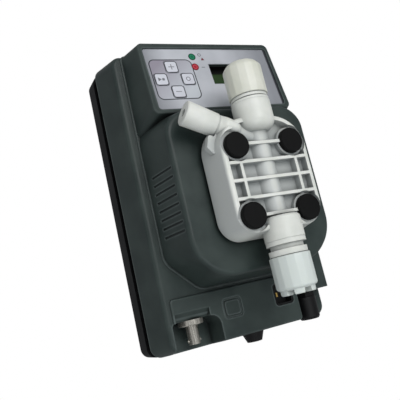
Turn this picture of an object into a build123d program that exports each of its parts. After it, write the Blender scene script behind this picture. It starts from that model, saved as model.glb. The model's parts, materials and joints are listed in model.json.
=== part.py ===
"""Wall-mounted diaphragm metering pump, modelled as separate pieces.

Frame: X to the right seen from the front, Z up, the front faces -Y.
The origin is the centre of the wall face, so every depth below is measured
forwards from the wall, along -Y. All lengths are millimetres.
"""
import os
from math import cos, radians, sin, sqrt

from build123d import *

os.makedirs("parts", exist_ok=True)

# ------------------------------------------------------------------ general
WALL = 3.0                # wall of the moulded enclosure
RUN_FIT = 0.08            # radial clearance of turning and sliding fits
THREAD_FIT = 0.05         # radial clearance of a modelled-plain thread
SEAT_GAP = 0.10           # clearance between a ball and its seat at rest
BODY_GAP = 0.30           # clearance between pieces that move apart

# ------------------------------------------------------------------ enclosure
RIM_DEPTH = 29.0                               # rear edge of the housing
RIM_W, RIM_H, RIM_R = 173.0, 251.2, 9.0
REAR_W, REAR_H, REAR_R = RIM_W - 2.0, RIM_H - 0.2, 8.0     # rear cover outline
REAR_DEPTH = 18.0                              # rear cover, front edge
REAR_BACK_WALL = 4.0
REAR_EDGE = 1.5                                # rounding of its front edge
SHOULDER_DEPTH = 57.0                          # front of the tapered mid body
SHOULDER_W, SHOULDER_H, SHOULDER_R = RIM_W - 15.0, RIM_H - 4.2, 9.0
SHOULDER_EDGE = 4.0
FRAME_INSET = 2.4                              # seal frame set in from the rear cover
FRAME_RING = 5.0                               # width of the seal frame's ring

# raised front of the housing that carries the pump head
MOUND_DEPTH = 99.0
HEAD_Z = -12.3                                 # height of the drive axis
MOUND_BASE_HALF = SHOULDER_W / 2 - 8.5
MOUND_FRONT_HALF = MOUND_BASE_HALF - 6.8
MOUND_BASE_LOW, MOUND_FRONT_LOW = HEAD_Z - 67.7, HEAD_Z - 64.0
MOUND_BASE_HIGH, MOUND_FRONT_HIGH = HEAD_Z + 74.3, HEAD_Z + 67.3
MOUND_BASE_CUT, MOUND_FRONT_CUT = 26.0, 20.0   # cut lower corners
MOUND_TOP_CUT = 12.0
MOUND_BASE_ROUND, MOUND_FRONT_ROUND = 16.0, 33.5
MOUND_TOP_ROUND = 19.5
MOUND_EDGE = 4.0                               # rounding of the front edge
BEAD_OUT, BEAD_RAISE, BEAD_EDGE = 1.3, 1.1, 0.8   # raised line round the base

# sloped control panel above the mound
SHROUD_TOP_Z = RIM_H / 2 - 2.1
PANEL_DEPTH, PANEL_Z = 83.25, SHROUD_TOP_Z - 33.75     # centre of the label face
PANEL_LEAN = 8.84                              # degrees, the top leans back
SHROUD_TOP_HALF, SHROUD_LOW_HALF = MOUND_BASE_HALF - 7.1, MOUND_BASE_HALF - 5.6
SHROUD_LOW_Z, SHROUD_BASE_LOW_Z = PANEL_Z - 32.35, PANEL_Z - 41.75
SHROUD_R, SHROUD_EDGE = 5.0, 1.2
PANEL_W, PANEL_H, PANEL_R = 2 * SHROUD_TOP_HALF - 6.8, 58.6, 3.0   # label
PANEL_SINK = 1.0                               # label below the rim round it

# raised pad and recesses at the bottom
PAD_LEFT, PAD_RIGHT = -73.5, 43.0
PAD_LOW, PAD_RAISE = 0.1 - SHOULDER_H / 2, 1.6
PAD_HIGH = PAD_LOW + 40.4
PAD_R, PAD_EDGE = 3.0, 1.2
BAY_CEILING = 24.1 - RIM_H / 2                 # ceiling of the connector recesses
BAY_BACK = 32.0                                # depth of their back wall's face
POCKET_LEFT, POCKET_RIGHT = -75.0, -34.0       # coaxial connector pocket
POCKET_BEVEL = 5.2
POCKET_LEFT_R, POCKET_RIGHT_R = 3.0, 8.0       # rounded upper corners
NOTCH_LEFT = PAD_RIGHT                         # cut-away lower right corner
CAVITY_FLOOR = BAY_CEILING + WALL

# grooves on the sides of the mound
GROOVE_COUNT, GROOVE_PITCH = 8, 6.95
GROOVE_WIDTH, GROOVE_DIP, GROOVE_LENGTH = 1.7, 1.0, 30.0
GROOVE_START = MOUND_EDGE                      # behind the mound's front edge

# ------------------------------------------------------------------ wall screws
WALL_PITCH_X, WALL_PITCH_Z = 120.0, 200.0
WALL_HOLE_R, WALL_HOLE_DEPTH = 2.5, 13.0
WALL_BOSS_R = 7.0
CASE_SCREW_X = REAR_W / 2 - 13.5               # screws that close the enclosure
CASE_SCREW_HIGH_Z, CASE_SCREW_LOW_Z = RIM_H / 2 - 15.6, BAY_CEILING + 10.5
CASE_SCREW_R, CASE_SCREW_HEAD_R, CASE_SCREW_HEAD_H = 2.0, 4.0, 3.0
CASE_SCREW_LENGTH = 36.0
CASE_BOSS_R = 5.5

# ------------------------------------------------------------------ pump head
PLATE_T = 4.0                                  # backing plate behind the head
HEAD_BACK = MOUND_DEPTH + PLATE_T
HEAD_T = 25.0
HEAD_FRONT = HEAD_BACK + HEAD_T                # plane of the ribs
HEAD_BASE_HALF, HEAD_FRONT_HALF = 41.5, 37.5
HEAD_BASE_LOW, HEAD_BASE_HIGH = HEAD_Z - 41.3, HEAD_Z + 50.3
HEAD_FRONT_LOW, HEAD_FRONT_HIGH = HEAD_Z - 38.7, HEAD_Z + 47.8
HEAD_LOW_R, HEAD_HIGH_R, HEAD_EDGE = 17.0, 26.0, 2.6
SCREW_X, SCREW_Z = 24.3, 26.6                  # head screws about the drive axis
SPOT_R, SPOT_DEPTH = 12.6, HEAD_FRONT - 2.4    # spot faces under the caps
CAP_R, CAP_T = 9.9, 4.2
CAP_EDGE = 0.8
RIB_PITCH, RIB_W = 13.6, 2.4
RIM_RIB_W = 3.8
CELL_FLOOR = HEAD_FRONT - 6.5                  # depth of the floor between ribs
PORT_DEPTH = HEAD_FRONT - 5.5                  # axis of both valves
SPINE_R, SPINE_SINK = 10.0, 0.8                # rounded spine, just below the ribs
SCREW_BOSS_R = 11.4
CHANNEL_Z = 17.0                               # cross channels above and below the axis
FIN_T, FIN_EDGE = 5.0, 1.6                     # fin under the bleed valve
FIN_CORNERS = [(-18, -1.2), (-34.5, 7.8), (-36.2, 5.8), (-40.4, 7.6), (-44, -2.2), (-40, -7.2), (-26, -9.2)]
DISC_R, DISC_T = 17.0, 2.0
PORT_R, PORT_LOW_ROUND, PORT_HIGH_ROUND = 15.0, 3.0, 8.0   # bosses round the valve ports
PORT_LOW, PORT_HIGH = HEAD_Z - 47.2, HEAD_Z + 59.3
PORT_LOW_END, PORT_HIGH_END = HEAD_Z - 29.7, HEAD_Z + 37.0
PORT_BORE_R = 9.6
PORT_BORE_DEPTH = 19.0
CHANNEL_R = 2.6
WALL_OPENING_R = 20.0                          # in the enclosure, behind the head
HEAD_SCREW_R, HEAD_SCREW_CAP_R, HEAD_SCREW_CAP_H = 3.0, 5.0, 6.0
HEAD_SCREW_SEAT = SPOT_DEPTH - 9.6             # depth under the screw heads
HEAD_SCREW_LENGTH = 26.0
HEAD_SCREW_WELL_R = 6.5
CHAMBER_R, CHAMBER_DEEP = 24.0, 2.6
DIAPHRAGM_R, DIAPHRAGM_T = 30.0, 2.4
MEMBRANE_T = 1.2
HUB_R, HUB_LENGTH = 9.0, 7.0
PLATE_HALF = 38.0
PLATE_R = 14.0
PLATE_BORE_R = 25.0

# ------------------------------------------------------------------ drive
STROKE = 1.25
ROD_R = 4.0
FLANGE_T, FLANGE_HALF, FLANGE_R = 8.0, 36.0, 10.0
POLE_R, POLE_LENGTH = 14.6, 6.0
YOKE_R, YOKE_WALL = 31.0, 3.5
YOKE_LENGTH = 44.0
YOKE_LID = 4.0
ARMATURE_R, ARMATURE_LENGTH = 14.6, 30.0
AIR_GAP = STROKE + 0.15
COIL_R = 25.5
BOBBIN_T = 1.4
BOBBIN_FLANGE_T = 1.6
SPRING_R, SPRING_WIRE_R, SPRING_TURNS = 7.0, 0.7, 4
SPRING_WELL_R, SPRING_WELL_DEPTH = 8.6, 7.0
BUSH_R = 6.0
BUMPER_R = 10.0

# ------------------------------------------------------------------ valves
RING_R, NECK_R, COLLAR_R = 14.8, 12.2, 14.2
SUCTION_RINGS = (3.4, 3.6, 4.2)                # ring, neck and collar lengths
DISCHARGE_RINGS = (2.2, 0.8, 2.2)
TAIL_R, TAIL_LENGTH = 12.4, 12.0               # threaded tail inside the nut
NUT_R, NUT_LENGTH = 15.3, 28.0
NUT_CROWN_R, NUT_CROWN_T = 13.2, 4.2           # castellated end
NUT_BORE_R = 6.2                               # passage for the hose
NUT_SLOTS, NUT_SLOT_W = 6, 3.2
BALL_R, BALL_LIFT = 4.5, 1.5
SEAT_HOLE_R, SEAT_T = 3.3, 2.0
CAGE_R = 5.2
NOZZLE_FLANGE_R, NOZZLE_FLANGE_T = 11.4, 2.6
NOZZLE_R, NOZZLE_TIP_R, NOZZLE_BORE_R = 4.4, 3.5, 2.2
NOZZLE_CLEAR = 1.0                             # nozzle tip inside the crown
SPIGOT_R, SPIGOT_LENGTH = 9.5, 16.0            # plain end inside the head's port
SEAT_SHELF = 2.0                               # seat above the spigot's lower end
ORING_WIRE_R, ORING_GROOVE, ORING_PLACE = 0.9, 1.9, 4.0
NUT_EDGE, NUT_SLOT_IN = 0.8, 1.2
NUT_WELL_R = 9.0                               # room round the nozzle inside the nut
VALVE_GAP = 0.4                                # joint between nut and collar

# bleed valve, rising to the upper left
BLEED_DEPTH, BLEED_Z = PORT_DEPTH - 5.5, HEAD_Z + 31.5     # its axis where it meets x = 0
BLEED_RISE = 25.6                              # degrees above the horizontal
BLEED_BOSS_R, BLEED_BOSS_END = 8.3, 35.5
BLEED_KNOB_R, BLEED_KNOB_END = 9.7, 61.4
BLEED_KNOB_ROOT_R = 9.0
BLEED_STEM_R, BLEED_BORE_R = 3.6, 1.6
BLEED_HOSE_R, BLEED_HOSE_DEPTH = 3.1, 10.0
BLEED_STEM_START, BLEED_KNOB_EDGE = 22.0, 0.8

# ------------------------------------------------------------------ panel
LABEL_T = 1.0
KEY_CENTRE_X, KEY_CENTRE_V = -38.2, -1.0       # keypad centre on the label
KEY_SPREAD = 12.0
KEY_W, KEY_R = 11.5, 2.2
KEY_PROUD, KEY_T = 0.4, 0.7
KEY_TRAVEL = 0.4
STEM_R = 2.2
LED_X, LED_GREEN_V, LED_RED_V = -15.9, 21.2, 11.0
LED_R, LED_BODY_R, LED_PROUD = 3.3, 2.5, 0.2
LCD_LEFT, LCD_W, LCD_H, LCD_V = -2.7, 42.0, 20.3, 3.75
LCD_SINK = 8.0                                 # glass below the label face
BEZEL_RING = 2.5
BOARD_SINK, BOARD_T = 13.0, 1.6
BOARD_W, BOARD_H = 106.0, 50.0
SWITCH_W, SWITCH_H = 6.0, 4.2
POST_R = 3.0

# ------------------------------------------------------------------ power board
POWER_DEPTH = 34.0
POWER_W, POWER_H, POWER_Z = 118.0, 62.0, 70.0
POWER_POST_IN = 6.0
CAPACITOR_R, CAPACITOR_H, CAPACITOR_PITCH = 9.0, 18.0, 21.6
TERMINAL_W, TERMINAL_D, TERMINAL_H = 46.0, 12.0, 12.0

# ------------------------------------------------------------------ connectors
BNC_X, BNC_DEPTH = -54.0, 44.0
BNC_FLANGE_R, BNC_FLANGE_T = 10.4, 4.4
BNC_BARREL_R, BNC_WALL, BNC_LOW = 4.85, 0.7, BAY_CEILING - 19.3
BNC_LUG_R, BNC_LUG_OUT = 1.0, 0.8
BNC_THREAD_R, BNC_THREAD_LENGTH = 5.0, 9.0
BNC_NUT_R, BNC_NUT_T = 8.0, 2.6
BNC_PIN_R = 0.7
BNC_LUG_PLACE = 3.0
GLAND_DEPTH = 43.5
POWER_GLAND_X, POWER_GLAND_R, POWER_GLAND_LOW = 0.0, 10.6, BAY_CEILING - 30.0
SIGNAL_GLAND_X, SIGNAL_GLAND_R, SIGNAL_GLAND_LOW = 60.5, 9.2, BAY_CEILING - 24.8
GLAND_HEX_T = 5.0
GLAND_THREAD_LENGTH = 8.0
GLAND_BORE_SHARE = 0.45                        # cable bore over nut radius
GLAND_THREAD_SHARE = 0.74                      # gland thread over nut radius
GLAND_NUT_T, GLAND_SEAL_T = 4.0, 5.0
# end of each gland nut, over its radius: length of the dome, its waist, its tip
POWER_DOME, SIGNAL_DOME = (1.0, 0.8, 0.6), (0.25, 0.95, 0.85)
WELL_HALF = 12.4                               # square well round the power gland
WELL_FRONT = 55.0
PLUG_X, PLUG_Z, PLUG_W, PLUG_H = -21.0, BAY_CEILING + 1.9, 17.0, 15.6
PLUG_FACE_W, PLUG_FACE_H, PLUG_SINK = 13.4, 11.6, 0.8
PLUG_T, PLUG_R, PLUG_FACE_R = 5.0, 3.2, 2.4
SOCKET_X, SOCKET_Z, SOCKET_W, SOCKET_DEEP = 29.0, BAY_CEILING + 2.9, 18.2, 14.0
SOCKET_R = 3.0
SOCKET_BACK = 5.0
CONTACT_W, CONTACT_T, CONTACT_LENGTH = 1.6, 3.6, 5.0
CONTACT_SPREAD = 4.0
SOCKET_RING = 1.6

# ------------------------------------------------------------------ shared places
FRONT = Plane.XZ                               # sketch plane seen from the front
PANEL = Plane(
    origin=(0, -PANEL_DEPTH, PANEL_Z),
    x_dir=(1, 0, 0),
    z_dir=(0, -cos(radians(PANEL_LEAN)), sin(radians(PANEL_LEAN))),
)
BLEED_DIR = Vector(-cos(radians(BLEED_RISE)), 0, sin(radians(BLEED_RISE)))
BLEED_ROOT = Vector(0, -BLEED_DEPTH, BLEED_Z)
HEAD_SCREWS = [(sx * SCREW_X, HEAD_Z + sz * SCREW_Z) for sx in (-1, 1) for sz in (-1, 1)]
FLANGE_BACK = MOUND_DEPTH - WALL - FLANGE_T    # depth of the drive flange's rear face
POLE_END = FLANGE_BACK - POLE_LENGTH
ARMATURE_FRONT = POLE_END - AIR_GAP
ARMATURE_BACK = ARMATURE_FRONT - ARMATURE_LENGTH
YOKE_BACK = FLANGE_BACK - YOKE_LENGTH


def ahead(depth):
    """Sketch plane that faces forwards at a depth from the wall."""
    return FRONT.offset(depth)


def outline(*points):
    """Fill a closed outline in the active sketch."""
    with BuildLine() as border:
        Polyline(*points, close=True)
    make_face(border.edges())


def cut_corner_outline(half, low, high, cuts, rounds):
    """Box with cut and rounded corners; cuts and rounds are (lower, upper)."""
    cut_low, cut_high = cuts
    outline(
        (-half + cut_low, low),
        (half - cut_low, low),
        (half, low + cut_low),
        (half, high - cut_high),
        (half - cut_high, high),
        (-half + cut_high, high),
        (-half, high - cut_high),
        (-half, low + cut_low),
    )
    fillet(vertices().sort_by(Axis.Y)[:4], rounds[0])
    fillet(vertices().sort_by(Axis.Y)[-4:], rounds[1])


def four_corner_outline(half_low, half_high, low, high, round_low, round_high):
    """Four-sided outline with its own lower and upper width and corner radius."""
    outline((-half_low, low), (half_low, low), (half_high, high), (-half_high, high))
    fillet(vertices().sort_by(Axis.Y)[:2], round_low)
    fillet(vertices().sort_by(Axis.Y)[-2:], round_high)


# ================================================================== enclosure
def mid_body(skin):
    """Tapered body between the rim and the shoulder, its surface set in by skin."""
    with BuildPart() as form:
        with BuildSketch(ahead(RIM_DEPTH)):
            RectangleRounded(RIM_W - 2 * skin, RIM_H - 2 * skin, RIM_R - skin)
        with BuildSketch(ahead(SHOULDER_DEPTH - skin)):
            RectangleRounded(SHOULDER_W - 2 * skin, SHOULDER_H - 2 * skin, SHOULDER_R - skin)
        loft()
    return form.part


def mound(skin):
    """Raised front that carries the pump head, its surface set in by skin."""
    with BuildPart() as form:
        with BuildSketch(ahead(SHOULDER_DEPTH - skin)):
            cut_corner_outline(
                MOUND_BASE_HALF - skin,
                MOUND_BASE_LOW + skin,
                MOUND_BASE_HIGH - skin,
                (MOUND_BASE_CUT, MOUND_TOP_CUT),
                (MOUND_BASE_ROUND, MOUND_TOP_ROUND),
            )
        with BuildSketch(ahead(MOUND_DEPTH - skin)):
            cut_corner_outline(
                MOUND_FRONT_HALF - skin,
                MOUND_FRONT_LOW + skin,
                MOUND_FRONT_HIGH - skin,
                (MOUND_FRONT_CUT, MOUND_TOP_CUT),
                (MOUND_FRONT_ROUND, MOUND_TOP_ROUND),
            )
        loft()
        fillet(form.faces().sort_by(Axis.Y)[0].edges(), MOUND_EDGE)
    return form.part


def panel_height(z):
    """Distance along the label, from its centre, of a point at height z."""
    return (z - PANEL_Z) / cos(radians(PANEL_LEAN))


def shroud(skin, sink):
    """Hood behind the control panel; its sloped face lies sink below the label."""
    with BuildPart() as form:
        with BuildSketch(ahead(SHOULDER_DEPTH - skin)):
            four_corner_outline(
                MOUND_BASE_HALF - skin,
                MOUND_BASE_HALF - skin,
                SHROUD_BASE_LOW_Z + skin,
                SHROUD_TOP_Z - skin,
                SHROUD_R,
                SHROUD_R,
            )
        with BuildSketch(PANEL.offset(-sink)):
            four_corner_outline(
                SHROUD_LOW_HALF - skin,
                SHROUD_TOP_HALF - skin,
                panel_height(SHROUD_LOW_Z) + skin,
                panel_height(SHROUD_TOP_Z) - skin,
                SHROUD_R,
                SHROUD_R,
            )
        loft()
        fillet(form.faces().sort_by(Axis.Y)[0].edges(), SHROUD_EDGE)
    return form.part


CASE_SCREWS = [
    (side * CASE_SCREW_X, height)
    for side in (-1, 1)
    for height in (CASE_SCREW_LOW_Z, CASE_SCREW_HIGH_Z)
]
POWER_POSTS = [
    (side * (POWER_W / 2 - POWER_POST_IN), POWER_Z + end * (POWER_H / 2 - POWER_POST_IN))
    for side in (-1, 1)
    for end in (-1, 1)
]

with BuildPart() as rear_cover:
    with BuildSketch(FRONT):
        RectangleRounded(REAR_W, REAR_H, REAR_R)
    extrude(amount=REAR_DEPTH)
    fillet(rear_cover.faces().sort_by(Axis.Y)[-1].edges(), REAR_EDGE)
    with BuildSketch(ahead(REAR_BACK_WALL)):
        RectangleRounded(REAR_W - 2 * WALL, REAR_H - 2 * WALL, REAR_R - WALL)
    extrude(amount=REAR_DEPTH - REAR_BACK_WALL, mode=Mode.SUBTRACT)
    with BuildSketch(ahead(REAR_BACK_WALL)):
        with GridLocations(WALL_PITCH_X, WALL_PITCH_Z, 2, 2):
            Circle(WALL_BOSS_R)
    extrude(amount=WALL_HOLE_DEPTH)
    with BuildSketch(ahead(REAR_BACK_WALL)):
        with Locations(*CASE_SCREWS):
            Circle(CASE_BOSS_R)
    extrude(amount=REAR_DEPTH - REAR_BACK_WALL)
    with BuildSketch(ahead(REAR_BACK_WALL)):
        with Locations(*POWER_POSTS):
            Circle(POST_R)
    extrude(amount=POWER_DEPTH - REAR_BACK_WALL)
    with BuildSketch(FRONT):
        with GridLocations(WALL_PITCH_X, WALL_PITCH_Z, 2, 2):
            Circle(WALL_HOLE_R)
    extrude(amount=WALL_HOLE_DEPTH, mode=Mode.SUBTRACT)
    with BuildSketch(FRONT):
        with Locations(*CASE_SCREWS):
            Circle(CASE_SCREW_R + BODY_GAP)
    extrude(amount=REAR_DEPTH, mode=Mode.SUBTRACT)
    with BuildSketch(FRONT):
        with Locations(*CASE_SCREWS):
            Circle(CASE_SCREW_HEAD_R + BODY_GAP)
    extrude(amount=CASE_SCREW_HEAD_H + BODY_GAP, mode=Mode.SUBTRACT)
rear_cover.part.label = "rear_cover"
export_step(rear_cover.part, "parts/rear_cover.step")

with BuildPart() as seal_frame:
    frame_w = REAR_W - 2 * FRAME_INSET
    frame_h = REAR_H - 2 * FRAME_INSET
    with BuildSketch(ahead(REAR_DEPTH)):
        RectangleRounded(frame_w, frame_h, REAR_R - FRAME_INSET)
        RectangleRounded(
            frame_w - 2 * FRAME_RING, frame_h - 2 * FRAME_RING, REAR_R - FRAME_RING, mode=Mode.SUBTRACT
        )
    extrude(amount=RIM_DEPTH - REAR_DEPTH)
seal_frame.part.label = "seal_frame"
export_step(seal_frame.part, "parts/seal_frame.step")

with BuildPart() as case_screws:
    with BuildSketch(ahead(BODY_GAP)):
        with Locations(*CASE_SCREWS):
            Circle(CASE_SCREW_HEAD_R)
    extrude(amount=CASE_SCREW_HEAD_H)
    with BuildSketch(ahead(BODY_GAP)):
        with Locations(*CASE_SCREWS):
            Circle(CASE_SCREW_R)
    extrude(amount=CASE_SCREW_LENGTH)
case_screws.part.label = "case_screws"
export_step(case_screws.part, "parts/case_screws.step")

# room inside the enclosure, above the solid block round the connectors
with BuildPart() as cavity:
    add(mid_body(WALL))
    add(mound(WALL))
    add(shroud(WALL, LABEL_T + WALL))
    with Locations((0, -MOUND_DEPTH / 2, CAVITY_FLOOR)):
        Box(RIM_W, MOUND_DEPTH, RIM_H, align=(Align.CENTER, Align.CENTER, Align.MAX), mode=Mode.SUBTRACT)

KEYS = {
    "key_up": (KEY_CENTRE_X, KEY_CENTRE_V + KEY_SPREAD),
    "key_down": (KEY_CENTRE_X, KEY_CENTRE_V - KEY_SPREAD),
    "key_run": (KEY_CENTRE_X - KEY_SPREAD, KEY_CENTRE_V),
    "key_set": (KEY_CENTRE_X + KEY_SPREAD, KEY_CENTRE_V),
}
LEDS = {"led_green": (LED_X, LED_GREEN_V), "led_red": (LED_X, LED_RED_V)}
LCD_CENTRE = (LCD_LEFT + LCD_W / 2, LCD_V)
BOARD_POSTS = [(sx * (BOARD_W / 2 - 4), sv * (BOARD_H / 2 - 4)) for sx in (-1, 1) for sv in (-1, 1)]
GLANDS = {
    "power_gland": (POWER_GLAND_X, POWER_GLAND_R, POWER_GLAND_LOW, POWER_DOME),
    "signal_gland": (SIGNAL_GLAND_X, SIGNAL_GLAND_R, SIGNAL_GLAND_LOW, SIGNAL_DOME),
}

# raised line round the foot of the mound and the shroud
with BuildPart() as bead:
    with BuildSketch(ahead(SHOULDER_DEPTH - WALL)):
        cut_corner_outline(
            MOUND_BASE_HALF + BEAD_OUT,
            MOUND_BASE_LOW - BEAD_OUT,
            MOUND_BASE_HIGH + BEAD_OUT,
            (MOUND_BASE_CUT, MOUND_TOP_CUT),
            (MOUND_BASE_ROUND, MOUND_TOP_ROUND),
        )
        four_corner_outline(
            MOUND_BASE_HALF + BEAD_OUT,
            MOUND_BASE_HALF + BEAD_OUT,
            HEAD_Z,
            SHROUD_TOP_Z,
            SHROUD_R,
            SHROUD_R,
        )
    extrude(amount=WALL + BEAD_RAISE)
    fillet(bead.faces().sort_by(Axis.Y)[0].edges(), BEAD_EDGE)

# raised pad at the bottom, in front of the connectors
with BuildPart() as pad:
    with BuildSketch(ahead(SHOULDER_DEPTH - WALL)):
        with Locations(((PAD_LEFT + PAD_RIGHT) / 2, (PAD_LOW + PAD_HIGH) / 2)):
            RectangleRounded(PAD_RIGHT - PAD_LEFT, PAD_HIGH - PAD_LOW, PAD_R)
    extrude(amount=WALL + PAD_RAISE)
    fillet(pad.faces().sort_by(Axis.Y)[0].edges(), PAD_EDGE)

with BuildPart() as housing:
    add(mid_body(0))
    fillet(housing.edges().group_by(Axis.Y)[0], SHOULDER_EDGE)
    add(bead.part)
    add(mound(0))
    add(shroud(0, -PANEL_SINK))
    add(pad.part)
    add(cavity.part, mode=Mode.SUBTRACT)
    # grooves on both sides of the mound
    run_back = Vector(MOUND_BASE_HALF - MOUND_FRONT_HALF, MOUND_DEPTH - SHOULDER_DEPTH, 0).normalized()
    for side in (-1, 1):
        along = Vector(side * run_back.X, run_back.Y, 0)
        for index in range(GROOVE_COUNT):
            groove_z = HEAD_Z + (index - (GROOVE_COUNT - 1) / 2) * GROOVE_PITCH
            start = Vector(side * MOUND_FRONT_HALF, -MOUND_DEPTH, groove_z)
            middle = start + along * (GROOVE_START + GROOVE_LENGTH / 2)
            with Locations(Plane(origin=middle, x_dir=along, z_dir=(0, 0, 1))):
                Box(GROOVE_LENGTH, 2 * GROOVE_DIP, GROOVE_WIDTH, mode=Mode.SUBTRACT)
    # label recess, key, lamp and display openings
    with BuildSketch(PANEL.offset(-LABEL_T)):
        RectangleRounded(PANEL_W + 2 * RUN_FIT, PANEL_H + 2 * RUN_FIT, PANEL_R)
    extrude(amount=LABEL_T + 2 * PANEL_SINK, mode=Mode.SUBTRACT)
    with BuildSketch(PANEL.offset(-LABEL_T)):
        with Locations(*KEYS.values()):
            Circle(STEM_R + BODY_GAP)
        with Locations(*LEDS.values()):
            Circle(LED_R + BODY_GAP)
        with Locations(LCD_CENTRE):
            Rectangle(LCD_W, LCD_H)
    extrude(amount=-2 * WALL, mode=Mode.SUBTRACT)
    with BuildSketch(PANEL.offset(-LABEL_T - WALL)):
        with Locations(*BOARD_POSTS):
            Circle(POST_R)
    extrude(amount=-(BOARD_SINK - LABEL_T - WALL))
    # posts that take the enclosure screws
    with BuildSketch(ahead(RIM_DEPTH)):
        with Locations(*CASE_SCREWS):
            Circle(CASE_BOSS_R)
    extrude(amount=SHOULDER_DEPTH - RIM_DEPTH - WALL / 2)
    with BuildSketch(ahead(RIM_DEPTH)):
        with Locations(*CASE_SCREWS):
            Circle(CASE_SCREW_R + THREAD_FIT)
    extrude(amount=CASE_SCREW_LENGTH + 2 * BODY_GAP - RIM_DEPTH + REAR_BACK_WALL, mode=Mode.SUBTRACT)
    # opening and screw holes behind the pump head
    with BuildSketch(ahead(MOUND_DEPTH - 2 * WALL)):
        with Locations((0, HEAD_Z)):
            Circle(WALL_OPENING_R)
        with Locations(*HEAD_SCREWS):
            Circle(HEAD_SCREW_R + BODY_GAP)
    extrude(amount=3 * WALL, mode=Mode.SUBTRACT)
    # connector pocket on the left, open to the front and below
    with BuildSketch(ahead(BAY_BACK)):
        with Locations(((POCKET_LEFT + POCKET_RIGHT) / 2, BAY_CEILING)):
            Rectangle(POCKET_RIGHT - POCKET_LEFT, RIM_H / 2, align=(Align.CENTER, Align.MAX))
        fillet(vertices().sort_by(Axis.Y)[-2:].sort_by(Axis.X)[0], POCKET_LEFT_R)
        fillet(vertices().sort_by(Axis.Y)[-2:].sort_by(Axis.X)[-1], POCKET_RIGHT_R)
    extrude(amount=MOUND_DEPTH - BAY_BACK, mode=Mode.SUBTRACT)
    with BuildSketch(Plane.YZ.offset(POCKET_LEFT + POCKET_LEFT_R)):
        outline(
            (-SHOULDER_DEPTH + POCKET_BEVEL, BAY_CEILING),
            (-SHOULDER_DEPTH - 2 * PAD_RAISE, BAY_CEILING + POCKET_BEVEL + 2 * PAD_RAISE),
            (-SHOULDER_DEPTH - 2 * PAD_RAISE, BAY_CEILING),
        )
    extrude(amount=POCKET_RIGHT - POCKET_LEFT - POCKET_LEFT_R - POCKET_RIGHT_R, mode=Mode.SUBTRACT)
    # lower right corner cut away
    with BuildSketch(ahead(BAY_BACK)):
        with Locations((NOTCH_LEFT, BAY_CEILING)):
            Rectangle(RIM_W / 2, RIM_H / 2, align=(Align.MIN, Align.MAX))
    extrude(amount=MOUND_DEPTH - BAY_BACK, mode=Mode.SUBTRACT)
    # square well round the power cable gland
    with BuildSketch(ahead(BAY_BACK)):
        with Locations((POWER_GLAND_X, BAY_CEILING)):
            Rectangle(2 * WELL_HALF, RIM_H / 2, align=(Align.CENTER, Align.MAX))
    extrude(amount=WELL_FRONT - BAY_BACK, mode=Mode.SUBTRACT)
    # square openings for the blanking plug and the signal socket
    with BuildSketch(ahead(SHOULDER_DEPTH + PAD_RAISE - SOCKET_DEEP)):
        with Locations((SOCKET_X, SOCKET_Z)):
            RectangleRounded(SOCKET_W + 2 * RUN_FIT, SOCKET_W + 2 * RUN_FIT, SOCKET_R)
    extrude(amount=2 * SOCKET_DEEP, mode=Mode.SUBTRACT)
    with BuildSketch(ahead(SHOULDER_DEPTH + PAD_RAISE - PLUG_T)):
        with Locations((PLUG_X, PLUG_Z)):
            RectangleRounded(PLUG_W + 2 * RUN_FIT, PLUG_H + 2 * RUN_FIT, PLUG_R)
    extrude(amount=2 * PLUG_T, mode=Mode.SUBTRACT)
    # holes in the ceiling for the glands and the coaxial connector
    with BuildSketch(Plane.XY.offset(BAY_CEILING - WALL)):
        for gland_x, gland_r, _, _ in GLANDS.values():
            with Locations((gland_x, -GLAND_DEPTH)):
                Circle(gland_r * GLAND_THREAD_SHARE + THREAD_FIT)
        with Locations((BNC_X, -BNC_DEPTH)):
            Circle(BNC_THREAD_R + THREAD_FIT)
    extrude(amount=3 * WALL, mode=Mode.SUBTRACT)
housing.part.label = "housing"
export_step(housing.part, "parts/housing.step")


# ================================================================== pump head
DRIVE_AXIS = Axis((0, 0, HEAD_Z), (0, -1, 0))
DRIVE_SECTION = Plane(origin=(0, 0, HEAD_Z), x_dir=(0, -1, 0), z_dir=(-1, 0, 0))
VALVE_AXIS = Axis((0, -PORT_DEPTH, 0), (0, 0, 1))
VALVE_SECTION = ahead(PORT_DEPTH)
BLEED_AXIS = Axis(tuple(BLEED_ROOT), tuple(BLEED_DIR))
BLEED_SECTION = Plane(origin=BLEED_ROOT, x_dir=BLEED_DIR, z_dir=(0, 1, 0))
RIB_LEVELS = [(0, HEAD_Z + step * RIB_PITCH) for step in (-2, -1, 0, 1, 2)]
PORTS = {"suction": (PORT_LOW, -1), "discharge": (PORT_HIGH, 1)}

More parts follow.
